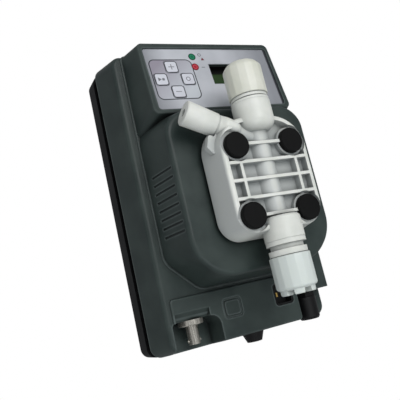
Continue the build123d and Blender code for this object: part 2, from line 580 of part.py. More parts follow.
with BuildPart() as pump_head:
    # tapered skirt
    with BuildSketch(ahead(HEAD_BACK)):
        four_corner_outline(
            HEAD_BASE_HALF, HEAD_BASE_HALF, HEAD_BASE_LOW, HEAD_BASE_HIGH, HEAD_LOW_R, HEAD_HIGH_R
        )
    with BuildSketch(ahead(HEAD_FRONT)):
        four_corner_outline(
            HEAD_FRONT_HALF, HEAD_FRONT_HALF, HEAD_FRONT_LOW, HEAD_FRONT_HIGH, HEAD_LOW_R, HEAD_HIGH_R
        )
    loft()
    fillet(pump_head.faces().sort_by(Axis.Y)[0].edges(), HEAD_EDGE)
    # cells between the ribs
    with BuildSketch(ahead(HEAD_FRONT)):
        four_corner_outline(
            HEAD_FRONT_HALF - RIM_RIB_W,
            HEAD_FRONT_HALF - RIM_RIB_W,
            HEAD_FRONT_LOW + RIM_RIB_W,
            HEAD_FRONT_HIGH - RIM_RIB_W,
            HEAD_LOW_R - RIM_RIB_W,
            HEAD_HIGH_R - RIM_RIB_W,
        )
        with Locations(*RIB_LEVELS):
            Rectangle(2 * HEAD_FRONT_HALF, RIB_W, mode=Mode.SUBTRACT)
        with Locations((-SCREW_X, HEAD_Z), (SCREW_X, HEAD_Z)):
            Rectangle(RIB_W, 2 * SCREW_Z, mode=Mode.SUBTRACT)
        with Locations(*HEAD_SCREWS):
            Circle(SCREW_BOSS_R, mode=Mode.SUBTRACT)
    extrude(amount=CELL_FLOOR - HEAD_FRONT, mode=Mode.SUBTRACT)
    # spot faces for the screw caps, with the nearest ribs running up to the caps
    with BuildSketch(ahead(SPOT_DEPTH)):
        with Locations(*HEAD_SCREWS):
            Circle(SPOT_R)
        with Locations(RIB_LEVELS[0], RIB_LEVELS[-1]):
            Rectangle(2 * (SCREW_X - CAP_R - BODY_GAP), RIB_W, mode=Mode.SUBTRACT)
    extrude(amount=HEAD_FRONT - SPOT_DEPTH, mode=Mode.SUBTRACT)
    # rounded spine between the two valve ports
    with BuildSketch(Plane.XY.offset(PORT_LOW_END)):
        with Locations((0, SPINE_SINK + SPINE_R - HEAD_FRONT)):
            Circle(SPINE_R)
    extrude(amount=PORT_HIGH_END - PORT_LOW_END + PORT_HIGH_ROUND)
    # boss round each valve port
    with BuildSketch(VALVE_SECTION):
        outline((0, PORT_LOW), (PORT_R, PORT_LOW), (PORT_R, PORT_LOW_END), (0, PORT_LOW_END))
        fillet(vertices().sort_by(Axis.X)[-2:].sort_by(Axis.Y)[-1], PORT_LOW_ROUND)
    revolve(axis=VALVE_AXIS)
    with BuildSketch(VALVE_SECTION):
        outline((0, PORT_HIGH_END), (PORT_R, PORT_HIGH_END), (PORT_R, PORT_HIGH), (0, PORT_HIGH))
        fillet(vertices().sort_by(Axis.X)[-2:].sort_by(Axis.Y)[0], PORT_HIGH_ROUND)
    revolve(axis=VALVE_AXIS)
    # bleed valve boss and the fin under it
    with BuildSketch(BLEED_SECTION):
        outline((0, 0), (0, BLEED_BOSS_R), (BLEED_BOSS_END, BLEED_BOSS_R), (BLEED_BOSS_END, 0))
    revolve(axis=BLEED_AXIS)
    with BuildSketch(ahead(BLEED_DEPTH - FIN_T / 2)):
        outline(*[(x, BLEED_Z + rise) for x, rise in FIN_CORNERS])
        fillet(vertices().sort_by(Axis.X)[:2], FIN_EDGE)
    extrude(amount=FIN_T)
    # ports and channels
    for port_z, way in PORTS.values():
        with BuildSketch(Plane((0, -PORT_DEPTH, port_z), x_dir=(1, 0, 0), z_dir=(0, 0, -way))):
            Circle(PORT_BORE_R)
        extrude(amount=PORT_BORE_DEPTH, mode=Mode.SUBTRACT)
        with BuildSketch(Plane((0, -PORT_DEPTH, port_z), x_dir=(1, 0, 0), z_dir=(0, 0, -way))):
            Circle(CHANNEL_R)
        extrude(amount=abs(port_z - HEAD_Z) - CHANNEL_Z + CHANNEL_R, mode=Mode.SUBTRACT)
        with BuildSketch(ahead(HEAD_BACK)):
            with Locations((0, HEAD_Z + way * CHANNEL_Z)):
                Circle(CHANNEL_R)
        extrude(amount=PORT_DEPTH - HEAD_BACK, mode=Mode.SUBTRACT)
    # dosing chamber and diaphragm seat
    with BuildSketch(ahead(HEAD_BACK)):
        with Locations((0, HEAD_Z)):
            Circle(DIAPHRAGM_R + THREAD_FIT)
    extrude(amount=DIAPHRAGM_T, mode=Mode.SUBTRACT)
    with BuildSketch(ahead(HEAD_BACK)):
        with Locations((0, HEAD_Z)):
            Circle(CHAMBER_R)
    extrude(amount=DIAPHRAGM_T + CHAMBER_DEEP, mode=Mode.SUBTRACT)
    # head screw holes
    with BuildSketch(ahead(HEAD_BACK)):
        with Locations(*HEAD_SCREWS):
            Circle(HEAD_SCREW_R + BODY_GAP)
    extrude(amount=HEAD_FRONT - HEAD_BACK, mode=Mode.SUBTRACT)
    with BuildSketch(ahead(HEAD_SCREW_SEAT)):
        with Locations(*HEAD_SCREWS):
            Circle(HEAD_SCREW_WELL_R)
    extrude(amount=HEAD_FRONT - HEAD_SCREW_SEAT, mode=Mode.SUBTRACT)
    # bleed bore, from the discharge channel to the mouth of the boss
    with BuildSketch(BLEED_SECTION):
        outline(
            (0, 0),
            (0, BLEED_BORE_R),
            (BLEED_STEM_START, BLEED_BORE_R),
            (BLEED_STEM_START, BLEED_STEM_R + RUN_FIT),
            (BLEED_BOSS_END + 1, BLEED_STEM_R + RUN_FIT),
            (BLEED_BOSS_END + 1, 0),
        )
    revolve(axis=BLEED_AXIS, mode=Mode.SUBTRACT)
pump_head.part.label = "pump_head"
export_step(pump_head.part, "parts/pump_head.step")

with BuildPart() as backing_plate:
    with BuildSketch(ahead(MOUND_DEPTH)):
        with Locations((0, HEAD_Z)):
            RectangleRounded(2 * PLATE_HALF, 2 * PLATE_HALF, PLATE_R)
            Circle(PLATE_BORE_R, mode=Mode.SUBTRACT)
        with Locations(*HEAD_SCREWS):
            Circle(HEAD_SCREW_R + BODY_GAP, mode=Mode.SUBTRACT)
    extrude(amount=PLATE_T)
backing_plate.part.label = "backing_plate"
export_step(backing_plate.part, "parts/backing_plate.step")

with BuildPart() as head_screws:
    with BuildSketch(ahead(HEAD_SCREW_SEAT)):
        with Locations(*HEAD_SCREWS):
            Circle(HEAD_SCREW_CAP_R)
    extrude(amount=HEAD_SCREW_CAP_H)
    with BuildSketch(ahead(HEAD_SCREW_SEAT)):
        with Locations(*HEAD_SCREWS):
            Circle(HEAD_SCREW_R)
    extrude(amount=-HEAD_SCREW_LENGTH)
    with BuildSketch(ahead(HEAD_SCREW_SEAT + HEAD_SCREW_CAP_H)):
        with Locations(*HEAD_SCREWS):
            RegularPolygon(HEAD_SCREW_R, 6)
    extrude(amount=-HEAD_SCREW_CAP_H / 2, mode=Mode.SUBTRACT)
head_screws.part.label = "head_screws"
export_step(head_screws.part, "parts/head_screws.step")

with BuildPart() as screw_caps:
    with BuildSketch(ahead(SPOT_DEPTH)):
        with Locations(*HEAD_SCREWS):
            Circle(CAP_R)
    extrude(amount=CAP_T)
    chamfer(screw_caps.faces().group_by(Axis.Y)[0].edges(), CAP_EDGE)
    with BuildSketch(ahead(SPOT_DEPTH)):
        with Locations(*HEAD_SCREWS):
            Circle(HEAD_SCREW_WELL_R - THREAD_FIT)
    extrude(amount=-(SPOT_DEPTH - HEAD_SCREW_SEAT - HEAD_SCREW_CAP_H - BODY_GAP))
screw_caps.part.label = "screw_caps"
export_step(screw_caps.part, "parts/screw_caps.step")

# ================================================================== diaphragm drive
with BuildPart() as diaphragm:
    membrane_back = HEAD_BACK + (DIAPHRAGM_T - MEMBRANE_T) / 2
    with BuildSketch(DRIVE_SECTION):
        outline(
            (HEAD_BACK - HUB_LENGTH, 0),
            (HEAD_BACK - HUB_LENGTH, HUB_R),
            (membrane_back, HUB_R),
            (membrane_back, PLATE_BORE_R - 2),
            (HEAD_BACK, PLATE_BORE_R - 1),
            (HEAD_BACK, DIAPHRAGM_R),
            (HEAD_BACK + DIAPHRAGM_T, DIAPHRAGM_R),
            (HEAD_BACK + DIAPHRAGM_T, CHAMBER_R - 1),
            (membrane_back + MEMBRANE_T, CHAMBER_R - 2),
            (membrane_back + MEMBRANE_T, HUB_R),
            (HEAD_BACK + DIAPHRAGM_T, HUB_R - 1),
            (HEAD_BACK + DIAPHRAGM_T, 0),
        )
    revolve(axis=DRIVE_AXIS)
    with BuildSketch(ahead(HEAD_BACK - HUB_LENGTH)):
        with Locations((0, HEAD_Z)):
            Circle(ROD_R + THREAD_FIT)
    extrude(amount=HUB_LENGTH - 2, mode=Mode.SUBTRACT)
diaphragm.part.label = "diaphragm"
export_step(diaphragm.part, "parts/diaphragm.step")

with BuildPart() as diaphragm_disc:
    with BuildSketch(ahead(membrane_back - DISC_T - SEAT_GAP)):
        with Locations((0, HEAD_Z)):
            Circle(DISC_R)
            Circle(HUB_R + THREAD_FIT, mode=Mode.SUBTRACT)
    extrude(amount=DISC_T)
diaphragm_disc.part.label = "diaphragm_disc"
export_step(diaphragm_disc.part, "parts/diaphragm_disc.step")

with BuildPart() as push_rod:
    with BuildSketch(ahead(ARMATURE_BACK + WALL)):
        with Locations((0, HEAD_Z)):
            Circle(ROD_R)
    extrude(amount=HEAD_BACK - 2 - THREAD_FIT - ARMATURE_BACK - WALL)
push_rod.part.label = "push_rod"
export_step(push_rod.part, "parts/push_rod.step")

with BuildPart() as drive_flange:
    with BuildSketch(ahead(FLANGE_BACK)):
        with Locations((0, HEAD_Z)):
            RectangleRounded(2 * FLANGE_HALF, 2 * FLANGE_HALF, FLANGE_R)
    extrude(amount=FLANGE_T)
    with BuildSketch(ahead(FLANGE_BACK)):
        with Locations((0, HEAD_Z)):
            Circle(POLE_R)
    extrude(amount=-POLE_LENGTH)
    with BuildSketch(ahead(POLE_END)):
        with Locations((0, HEAD_Z)):
            Circle(BUSH_R + THREAD_FIT)
        with Locations(*HEAD_SCREWS):
            Circle(HEAD_SCREW_R + THREAD_FIT)
    extrude(amount=POLE_LENGTH + FLANGE_T, mode=Mode.SUBTRACT)
drive_flange.part.label = "drive_flange"
export_step(drive_flange.part, "parts/drive_flange.step")

with BuildPart() as guide_bush:
    with BuildSketch(ahead(POLE_END)):
        with Locations((0, HEAD_Z)):
            Circle(BUSH_R)
            Circle(ROD_R + RUN_FIT, mode=Mode.SUBTRACT)
    extrude(amount=POLE_LENGTH + FLANGE_T)
guide_bush.part.label = "guide_bush"
export_step(guide_bush.part, "parts/guide_bush.step")

with BuildPart() as armature:
    with BuildSketch(DRIVE_SECTION):
        outline(
            (ARMATURE_BACK, ROD_R + THREAD_FIT),
            (ARMATURE_BACK, ARMATURE_R - 1),
            (ARMATURE_BACK + 1, ARMATURE_R),
            (ARMATURE_FRONT, ARMATURE_R),
            (ARMATURE_FRONT, SPRING_WELL_R),
            (ARMATURE_FRONT - SPRING_WELL_DEPTH, SPRING_WELL_R),
            (ARMATURE_FRONT - SPRING_WELL_DEPTH, ROD_R + THREAD_FIT),
        )
    revolve(axis=DRIVE_AXIS)
armature.part.label = "armature"
export_step(armature.part, "parts/armature.step")

with BuildPart() as return_spring:
    well_floor = ARMATURE_FRONT - SPRING_WELL_DEPTH
    coil_height = POLE_END - well_floor - 2 * SPRING_WIRE_R
    with BuildLine() as coil_line:
        Helix(
            pitch=coil_height / SPRING_TURNS,
            height=coil_height,
            radius=SPRING_R,
            center=(0, -(well_floor + SPRING_WIRE_R), HEAD_Z),
            direction=(0, -1, 0),
        )
    with BuildSketch(Plane(origin=coil_line.line @ 0, z_dir=coil_line.line % 0)):
        Circle(SPRING_WIRE_R)
    sweep()
return_spring.part.label = "return_spring"
export_step(return_spring.part, "parts/return_spring.step")

with BuildPart() as yoke:
    with BuildSketch(ahead(YOKE_BACK)):
        with Locations((0, HEAD_Z)):
            Circle(YOKE_R)
    extrude(amount=YOKE_LENGTH)
    with BuildSketch(ahead(YOKE_BACK + YOKE_LID)):
        with Locations((0, HEAD_Z)):
            Circle(YOKE_R - YOKE_WALL)
    extrude(amount=YOKE_LENGTH - YOKE_LID, mode=Mode.SUBTRACT)
yoke.part.label = "yoke"
export_step(yoke.part, "parts/yoke.step")

BOBBIN_IN = ARMATURE_R + BODY_GAP + RUN_FIT
with BuildPart() as bobbin:
    with BuildSketch(DRIVE_SECTION):
        outline(
            (YOKE_BACK + YOKE_LID, BOBBIN_IN),
            (YOKE_BACK + YOKE_LID, COIL_R + BOBBIN_FLANGE_T),
            (YOKE_BACK + YOKE_LID + BOBBIN_FLANGE_T, COIL_R + BOBBIN_FLANGE_T),
            (YOKE_BACK + YOKE_LID + BOBBIN_FLANGE_T, BOBBIN_IN + BOBBIN_T),
            (FLANGE_BACK - BOBBIN_FLANGE_T, BOBBIN_IN + BOBBIN_T),
            (FLANGE_BACK - BOBBIN_FLANGE_T, COIL_R + BOBBIN_FLANGE_T),
            (FLANGE_BACK, COIL_R + BOBBIN_FLANGE_T),
            (FLANGE_BACK, BOBBIN_IN),
        )
    revolve(axis=DRIVE_AXIS)
bobbin.part.label = "bobbin"
export_step(bobbin.part, "parts/bobbin.step")

with BuildPart() as coil:
    with BuildSketch(ahead(YOKE_BACK + YOKE_LID + BOBBIN_FLANGE_T)):
        with Locations((0, HEAD_Z)):
            Circle(COIL_R)
            Circle(BOBBIN_IN + BOBBIN_T + THREAD_FIT, mode=Mode.SUBTRACT)
    extrude(amount=YOKE_LENGTH - YOKE_LID - 2 * BOBBIN_FLANGE_T)
coil.part.label = "coil"
export_step(coil.part, "parts/coil.step")

with BuildPart() as bumper:
    with BuildSketch(ahead(YOKE_BACK + YOKE_LID)):
        with Locations((0, HEAD_Z)):
            Circle(BUMPER_R)
    extrude(amount=ARMATURE_BACK - YOKE_BACK - YOKE_LID - BODY_GAP)
bumper.part.label = "bumper"
export_step(bumper.part, "parts/bumper.step")

# ================================================================== valves
# The liquid rises through both valves, so each seat lies under its ball.
JOINT_RINGS = {"suction": SUCTION_RINGS, "discharge": DISCHARGE_RINGS}
BALL_REST = sqrt(BALL_R**2 - SEAT_HOLE_R**2) + SEAT_GAP

for name, (port_z, way) in PORTS.items():
    ring_t, neck_t, collar_t = JOINT_RINGS[name]
    ring_end = port_z + way * ring_t
    neck_end = ring_end + way * neck_t
    collar_end = neck_end + way * collar_t
    tail_end = collar_end + way * TAIL_LENGTH
    spigot_end = port_z - way * SPIGOT_LENGTH
    shelf_z = min(port_z, spigot_end) + SEAT_SHELF
    cage_top = max(spigot_end, tail_end)
    groove_z = port_z - way * ORING_PLACE
    groove_half = ORING_WIRE_R + BODY_GAP / 2

    with BuildPart() as valve_body:
        with BuildSketch(VALVE_SECTION):
            outline(
                (0, spigot_end),
                (SPIGOT_R, spigot_end),
                (SPIGOT_R, groove_z - way * groove_half),
                (SPIGOT_R - ORING_GROOVE, groove_z - way * groove_half),
                (SPIGOT_R - ORING_GROOVE, groove_z + way * groove_half),
                (SPIGOT_R, groove_z + way * groove_half),
                (SPIGOT_R, port_z),
                (RING_R, port_z),
                (RING_R, ring_end),
                (NECK_R, ring_end),
                (NECK_R, neck_end),
                (COLLAR_R, neck_end),
                (COLLAR_R, collar_end),
                (TAIL_R, collar_end),
                (TAIL_R, tail_end),
                (0, tail_end),
            )
        revolve(axis=VALVE_AXIS)
        with BuildSketch(Plane.XY.offset(shelf_z)):
            with Locations((0, -PORT_DEPTH)):
                Circle(CAGE_R)
        extrude(amount=cage_top - shelf_z, mode=Mode.SUBTRACT)
        with BuildSketch(Plane.XY.offset(min(spigot_end, tail_end))):
            with Locations((0, -PORT_DEPTH)):
                Circle(SEAT_HOLE_R)
        extrude(amount=TAIL_LENGTH + ring_t + neck_t + collar_t + SPIGOT_LENGTH, mode=Mode.SUBTRACT)
    valve_body.part.label = f"{name}_body"
    export_step(valve_body.part, f"parts/{name}_body.step")

    ball_z = shelf_z + SEAT_T + BALL_REST
    with BuildPart() as valve_ball:
        with Locations((0, -PORT_DEPTH, ball_z)):
            Sphere(BALL_R)
    valve_ball.part.label = f"{name}_ball"
    export_step(valve_ball.part, f"parts/{name}_ball.step")

    flange_end = tail_end + way * NOZZLE_FLANGE_T
    nut_start = collar_end + way * VALVE_GAP
    nut_end = nut_start + way * NUT_LENGTH
    crown_start = nut_end - way * NUT_CROWN_T
    with BuildPart() as nozzle:
        with BuildSketch(VALVE_SECTION):
            outline(
                (NOZZLE_BORE_R, tail_end),
                (NOZZLE_FLANGE_R, tail_end),
                (NOZZLE_FLANGE_R, flange_end),
                (NOZZLE_R, flange_end),
                (NOZZLE_TIP_R, crown_start - way * NOZZLE_CLEAR),
                (NOZZLE_BORE_R, crown_start - way * NOZZLE_CLEAR),
            )
        revolve(axis=VALVE_AXIS)
    nozzle.part.label = f"{name}_nozzle"
    export_step(nozzle.part, f"parts/{name}_nozzle.step")

    with BuildPart() as union_nut:
        with BuildSketch(VALVE_SECTION):
            outline(
                (TAIL_R + RUN_FIT, nut_start),
                (NUT_R - NUT_EDGE, nut_start),
                (NUT_R, nut_start + way * NUT_EDGE),
                (NUT_R, crown_start - way * NUT_EDGE),
                (NUT_CROWN_R, crown_start),
                (NUT_CROWN_R, nut_end - way * NUT_EDGE),
                (NUT_CROWN_R - NUT_EDGE, nut_end),
                (NUT_BORE_R, nut_end),
                (NUT_BORE_R, crown_start),
                (NUT_WELL_R, crown_start),
                (NUT_WELL_R, flange_end + way * BODY_GAP),
                (TAIL_R + RUN_FIT, flange_end + way * BODY_GAP),
            )
        revolve(axis=VALVE_AXIS)
        with BuildSketch(Plane((0, -PORT_DEPTH, nut_end), x_dir=(1, 0, 0), z_dir=(0, 0, -way))):
            with PolarLocations((NUT_CROWN_R + NUT_BORE_R) / 2 + NUT_SLOT_IN, NUT_SLOTS):
                Rectangle(NUT_CROWN_R - NUT_BORE_R, NUT_SLOT_W)
        extrude(amount=NUT_CROWN_T - NUT_EDGE, mode=Mode.SUBTRACT)
    union_nut.part.label = f"{name}_nut"
    export_step(union_nut.part, f"parts/{name}_nut.step")

SEAT_LEVELS = [min(port_z, port_z - way * SPIGOT_LENGTH) + SEAT_SHELF for port_z, way in PORTS.values()]
SEAT_TO_STOP = SEAT_T + BALL_REST + BALL_R + BALL_LIFT + BODY_GAP

with BuildPart() as valve_seats:
    for level in SEAT_LEVELS:
        with BuildSketch(Plane.XY.offset(level)):
            with Locations((0, -PORT_DEPTH)):
                Circle(CAGE_R - THREAD_FIT)
                Circle(SEAT_HOLE_R, mode=Mode.SUBTRACT)
        extrude(amount=SEAT_T)
valve_seats.part.label = "valve_seats"
export_step(valve_seats.part, "parts/valve_seats.step")

with BuildPart() as valve_stops:
    for level in SEAT_LEVELS:
        with BuildSketch(Plane.XY.offset(level + SEAT_TO_STOP)):
            with Locations((0, -PORT_DEPTH)):
                Circle(CAGE_R - THREAD_FIT)
                Circle(SEAT_HOLE_R, mode=Mode.SUBTRACT)
        extrude(amount=SEAT_T)
valve_stops.part.label = "valve_stops"
export_step(valve_stops.part, "parts/valve_stops.step")

with BuildPart() as valve_orings:
    with BuildSketch(VALVE_SECTION):
        for port_z, way in PORTS.values():
            with Locations((SPIGOT_R - ORING_WIRE_R, port_z - way * ORING_PLACE)):
                Circle(ORING_WIRE_R)
    revolve(axis=VALVE_AXIS)
valve_orings.part.label = "valve_orings"
export_step(valve_orings.part, "parts/valve_orings.step")

# ================================================================== bleed valve
with BuildPart() as bleed_stem:
    with BuildSketch(BLEED_SECTION):
        outline(
            (BLEED_STEM_START + BODY_GAP, 0),
            (BLEED_STEM_START + BODY_GAP, BLEED_BORE_R),
            (BLEED_STEM_START + BLEED_STEM_R, BLEED_STEM_R),
            (BLEED_BOSS_END + BODY_GAP, BLEED_STEM_R),
            (BLEED_BOSS_END + BODY_GAP, 0),
        )
    revolve(axis=BLEED_AXIS)
bleed_stem.part.label = "bleed_stem"
export_step(bleed_stem.part, "parts/bleed_stem.step")

with BuildPart() as bleed_knob:
    with BuildSketch(BLEED_SECTION):
        outline(
            (BLEED_BOSS_END + BODY_GAP, 0),
            (BLEED_BOSS_END + BODY_GAP, BLEED_KNOB_ROOT_R),
            (BLEED_KNOB_END - BLEED_KNOB_EDGE, BLEED_KNOB_R),
            (BLEED_KNOB_END, BLEED_KNOB_R - BLEED_KNOB_EDGE),
            (BLEED_KNOB_END, BLEED_HOSE_R),
            (BLEED_KNOB_END - BLEED_HOSE_DEPTH, BLEED_HOSE_R),
            (BLEED_KNOB_END - BLEED_HOSE_DEPTH, 0),
        )
    revolve(axis=BLEED_AXIS)
bleed_knob.part.label = "bleed_knob"
export_step(bleed_knob.part, "parts/bleed_knob.step")

# ================================================================== control panel
with BuildPart() as panel_label:
    with BuildSketch(PANEL.offset(-LABEL_T)):
        RectangleRounded(PANEL_W, PANEL_H, PANEL_R)
        with Locations(*KEYS.values()):
            RectangleRounded(KEY_W + 2 * BODY_GAP, KEY_W + 2 * BODY_GAP, KEY_R, mode=Mode.SUBTRACT)
        with Locations(*LEDS.values()):
            Circle(LED_R + THREAD_FIT, mode=Mode.SUBTRACT)
        with Locations(LCD_CENTRE):
            Rectangle(LCD_W, LCD_H, mode=Mode.SUBTRACT)
    extrude(amount=LABEL_T)
panel_label.part.label = "panel_label"
export_step(panel_label.part, "parts/panel_label.step")

for name, centre in KEYS.items():
    with BuildPart() as key:
        with BuildSketch(PANEL.offset(KEY_PROUD - KEY_T)):
            with Locations(centre):
                RectangleRounded(KEY_W, KEY_W, KEY_R)
        extrude(amount=KEY_T)
        with BuildSketch(PANEL.offset(KEY_PROUD - KEY_T)):
            with Locations(centre):
                Circle(STEM_R)
        extrude(amount=-(BOARD_SINK - SWITCH_H - KEY_TRAVEL - BODY_GAP + KEY_PROUD - KEY_T))
    key.part.label = name
    export_step(key.part, f"parts/{name}.step")

for name, centre in LEDS.items():
    with BuildPart() as lamp:
        with BuildSketch(PANEL.offset(LED_PROUD)):
            with Locations(centre):
                Circle(LED_R)
        extrude(amount=-(LED_PROUD + LABEL_T + WALL))
        with BuildSketch(PANEL.offset(LED_PROUD)):
            with Locations(centre):
                Circle(LED_BODY_R)
        extrude(amount=-(LED_PROUD + BOARD_SINK))
    lamp.part.label = name
    export_step(lamp.part, f"parts/{name}.step")

with BuildPart() as lcd_bezel:
    with BuildSketch(PANEL.offset(-LABEL_T - WALL)):
        with Locations(LCD_CENTRE):
            Rectangle(LCD_W + 2 * BEZEL_RING, LCD_H + 2 * BEZEL_RING)
            Rectangle(LCD_W, LCD_H, mode=Mode.SUBTRACT)
    extrude(amount=-(LCD_SINK - LABEL_T - WALL))
lcd_bezel.part.label = "lcd_bezel"
export_step(lcd_bezel.part, "parts/lcd_bezel.step")

with BuildPart() as lcd_module:
    with BuildSketch(PANEL.offset(-LCD_SINK)):
        with Locations(LCD_CENTRE):
            Rectangle(LCD_W + 2 * BEZEL_RING, LCD_H + 2 * BEZEL_RING)
    extrude(amount=LCD_SINK - BOARD_SINK)
lcd_module.part.label = "lcd_module"
export_step(lcd_module.part, "parts/lcd_module.step")

with BuildPart() as control_board:
    with BuildSketch(PANEL.offset(-BOARD_SINK)):
        Rectangle(BOARD_W, BOARD_H)
    extrude(amount=-BOARD_T)
control_board.part.label = "control_board"
export_step(control_board.part, "parts/control_board.step")

with BuildPart() as key_switches:
    with BuildSketch(PANEL.offset(-BOARD_SINK)):
        with Locations(*KEYS.values()):
            Rectangle(SWITCH_W, SWITCH_W)
    extrude(amount=SWITCH_H - 1)
    with BuildSketch(PANEL.offset(-BOARD_SINK)):
        with Locations(*KEYS.values()):
            Circle(SWITCH_W / 4)
    extrude(amount=SWITCH_H)
key_switches.part.label = "key_switches"
export_step(key_switches.part, "parts/key_switches.step")

# ================================================================== power board
with BuildPart() as power_board:
    with BuildSketch(ahead(POWER_DEPTH)):
        with Locations((0, POWER_Z)):
            Rectangle(POWER_W, POWER_H)
    extrude(amount=BOARD_T)
power_board.part.label = "power_board"
export_step(power_board.part, "parts/power_board.step")

with BuildPart() as capacitors:
    with BuildSketch(ahead(POWER_DEPTH + BOARD_T)):
        with Locations((-POWER_W / 4, POWER_Z), (-POWER_W / 4 + CAPACITOR_PITCH, POWER_Z)):
            Circle(CAPACITOR_R)
    extrude(amount=CAPACITOR_H)
capacitors.part.label = "capacitors"
export_step(capacitors.part, "parts/capacitors.step")

with BuildPart() as terminal_block:
    with BuildSketch(ahead(POWER_DEPTH + BOARD_T)):
        with Locations((POWER_W / 4, POWER_Z - POWER_H / 4)):
            Rectangle(TERMINAL_W, TERMINAL_D)
    extrude(amount=TERMINAL_H)
terminal_block.part.label = "terminal_block"
export_step(terminal_block.part, "parts/terminal_block.step")

# ================================================================== connectors
BNC_AXIS = Axis((BNC_X, -BNC_DEPTH, 0), (0, 0, 1))
BNC_SECTION = Plane((BNC_X, -BNC_DEPTH, 0), x_dir=(1, 0, 0), z_dir=(0, -1, 0))
bnc_flange_low = BAY_CEILING - BNC_FLANGE_T

with BuildPart() as bnc_body:
    with BuildSketch(BNC_SECTION):
        outline(
            (0, BAY_CEILING + BNC_THREAD_LENGTH),
            (BNC_THREAD_R, BAY_CEILING + BNC_THREAD_LENGTH),
            (BNC_THREAD_R, BAY_CEILING),
            (BNC_FLANGE_R, BAY_CEILING),
            (BNC_FLANGE_R, bnc_flange_low + BNC_LUG_OUT),
            (BNC_FLANGE_R - BNC_LUG_OUT, bnc_flange_low),
            (BNC_BARREL_R, bnc_flange_low),
            (BNC_BARREL_R, BNC_LOW),
            (BNC_BARREL_R - BNC_WALL, BNC_LOW),
            (BNC_BARREL_R - BNC_WALL, bnc_flange_low),
            (0, bnc_flange_low),
        )
    revolve(axis=BNC_AXIS)
    with BuildSketch(Plane.YZ.offset(BNC_X)):
        with Locations((-BNC_DEPTH, BNC_LOW + BNC_LUG_PLACE)):
            Circle(BNC_LUG_R)
    extrude(amount=BNC_BARREL_R + BNC_LUG_OUT, both=True)
    with BuildSketch(Plane.XY.offset(BNC_LOW)):
        with Locations((BNC_X, -BNC_DEPTH)):
            Circle(BNC_BARREL_R - BNC_WALL)
    extrude(amount=bnc_flange_low - BNC_LOW, mode=Mode.SUBTRACT)
bnc_body.part.label = "bnc_body"
export_step(bnc_body.part, "parts/bnc_body.step")

with BuildPart() as bnc_insulator:
    with BuildSketch(Plane.XY.offset(bnc_flange_low)):
        with Locations((BNC_X, -BNC_DEPTH)):
            Circle(BNC_BARREL_R / 2)
            Circle(BNC_PIN_R, mode=Mode.SUBTRACT)
    extrude(amount=-(bnc_flange_low - BNC_LOW - BNC_LUG_PLACE))
bnc_insulator.part.label = "bnc_insulator"
export_step(bnc_insulator.part, "parts/bnc_insulator.step")

with BuildPart() as bnc_contact:
    with BuildSketch(Plane.XY.offset(bnc_flange_low)):
        with Locations((BNC_X, -BNC_DEPTH)):
            Circle(BNC_PIN_R - THREAD_FIT)
    extrude(amount=-(bnc_flange_low - BNC_LOW - BNC_LUG_PLACE / 2))
bnc_contact.part.label = "bnc_contact"
export_step(bnc_contact.part, "parts/bnc_contact.step")

with BuildPart() as bnc_nut:
    with BuildSketch(Plane.XY.offset(CAVITY_FLOOR)):
        with Locations((BNC_X, -BNC_DEPTH)):
            RegularPolygon(BNC_NUT_R, 6)
            Circle(BNC_THREAD_R + THREAD_FIT, mode=Mode.SUBTRACT)
    extrude(amount=BNC_NUT_T)
bnc_nut.part.label = "bnc_nut"
export_step(bnc_nut.part, "parts/bnc_nut.step")

for name, (gland_x, gland_r, gland_low, (dome, waist, tip)) in GLANDS.items():
    thread_r = gland_r * GLAND_THREAD_SHARE
    bore_r = gland_r * GLAND_BORE_SHARE
    hex_low = BAY_CEILING - GLAND_HEX_T
    thread_low = hex_low - GLAND_THREAD_LENGTH
    gland_axis = Axis((gland_x, -GLAND_DEPTH, 0), (0, 0, 1))
    gland_section = Plane((gland_x, -GLAND_DEPTH, 0), x_dir=(1, 0, 0), z_dir=(0, -1, 0))

    with BuildPart() as gland_body:
        with BuildSketch(Plane.XY.offset(BAY_CEILING)):
            with Locations((gland_x, -GLAND_DEPTH)):
                RegularPolygon(gland_r, 6)
        extrude(amount=-GLAND_HEX_T)
        with BuildSketch(Plane.XY.offset(thread_low)):
            with Locations((gland_x, -GLAND_DEPTH)):
                Circle(thread_r)
        extrude(amount=GLAND_THREAD_LENGTH + GLAND_HEX_T + WALL + GLAND_NUT_T)
        with BuildSketch(Plane.XY.offset(thread_low)):
            with Locations((gland_x, -GLAND_DEPTH)):
                Circle(bore_r)
        extrude(amount=RIM_H, mode=Mode.SUBTRACT)
    gland_body.part.label = f"{name}_body"
    export_step(gland_body.part, f"parts/{name}_body.step")

    with BuildPart() as gland_nut:
        with BuildSketch(gland_section):
            outline(
                (thread_r + RUN_FIT, hex_low - VALVE_GAP),
                (gland_r, hex_low - VALVE_GAP),
                (gland_r, gland_low + gland_r * dome),
                (gland_r * waist, gland_low + gland_r * dome / 2),
                (gland_r * tip, gland_low),
                (bore_r, gland_low),
                (bore_r, thread_low - GLAND_SEAL_T - BODY_GAP),
                (thread_r + RUN_FIT, thread_low - GLAND_SEAL_T - BODY_GAP),
            )
        revolve(axis=gland_axis)
    gland_nut.part.label = f"{name}_nut"
    export_step(gland_nut.part, f"parts/{name}_nut.step")

    with BuildPart() as gland_seal:
        with BuildSketch(Plane.XY.offset(thread_low)):
            with Locations((gland_x, -GLAND_DEPTH)):
                Circle(thread_r - BODY_GAP)
                Circle(bore_r, mode=Mode.SUBTRACT)
        extrude(amount=-GLAND_SEAL_T)
    gland_seal.part.label = f"{name}_seal"
    export_step(gland_seal.part, f"parts/{name}_seal.step")

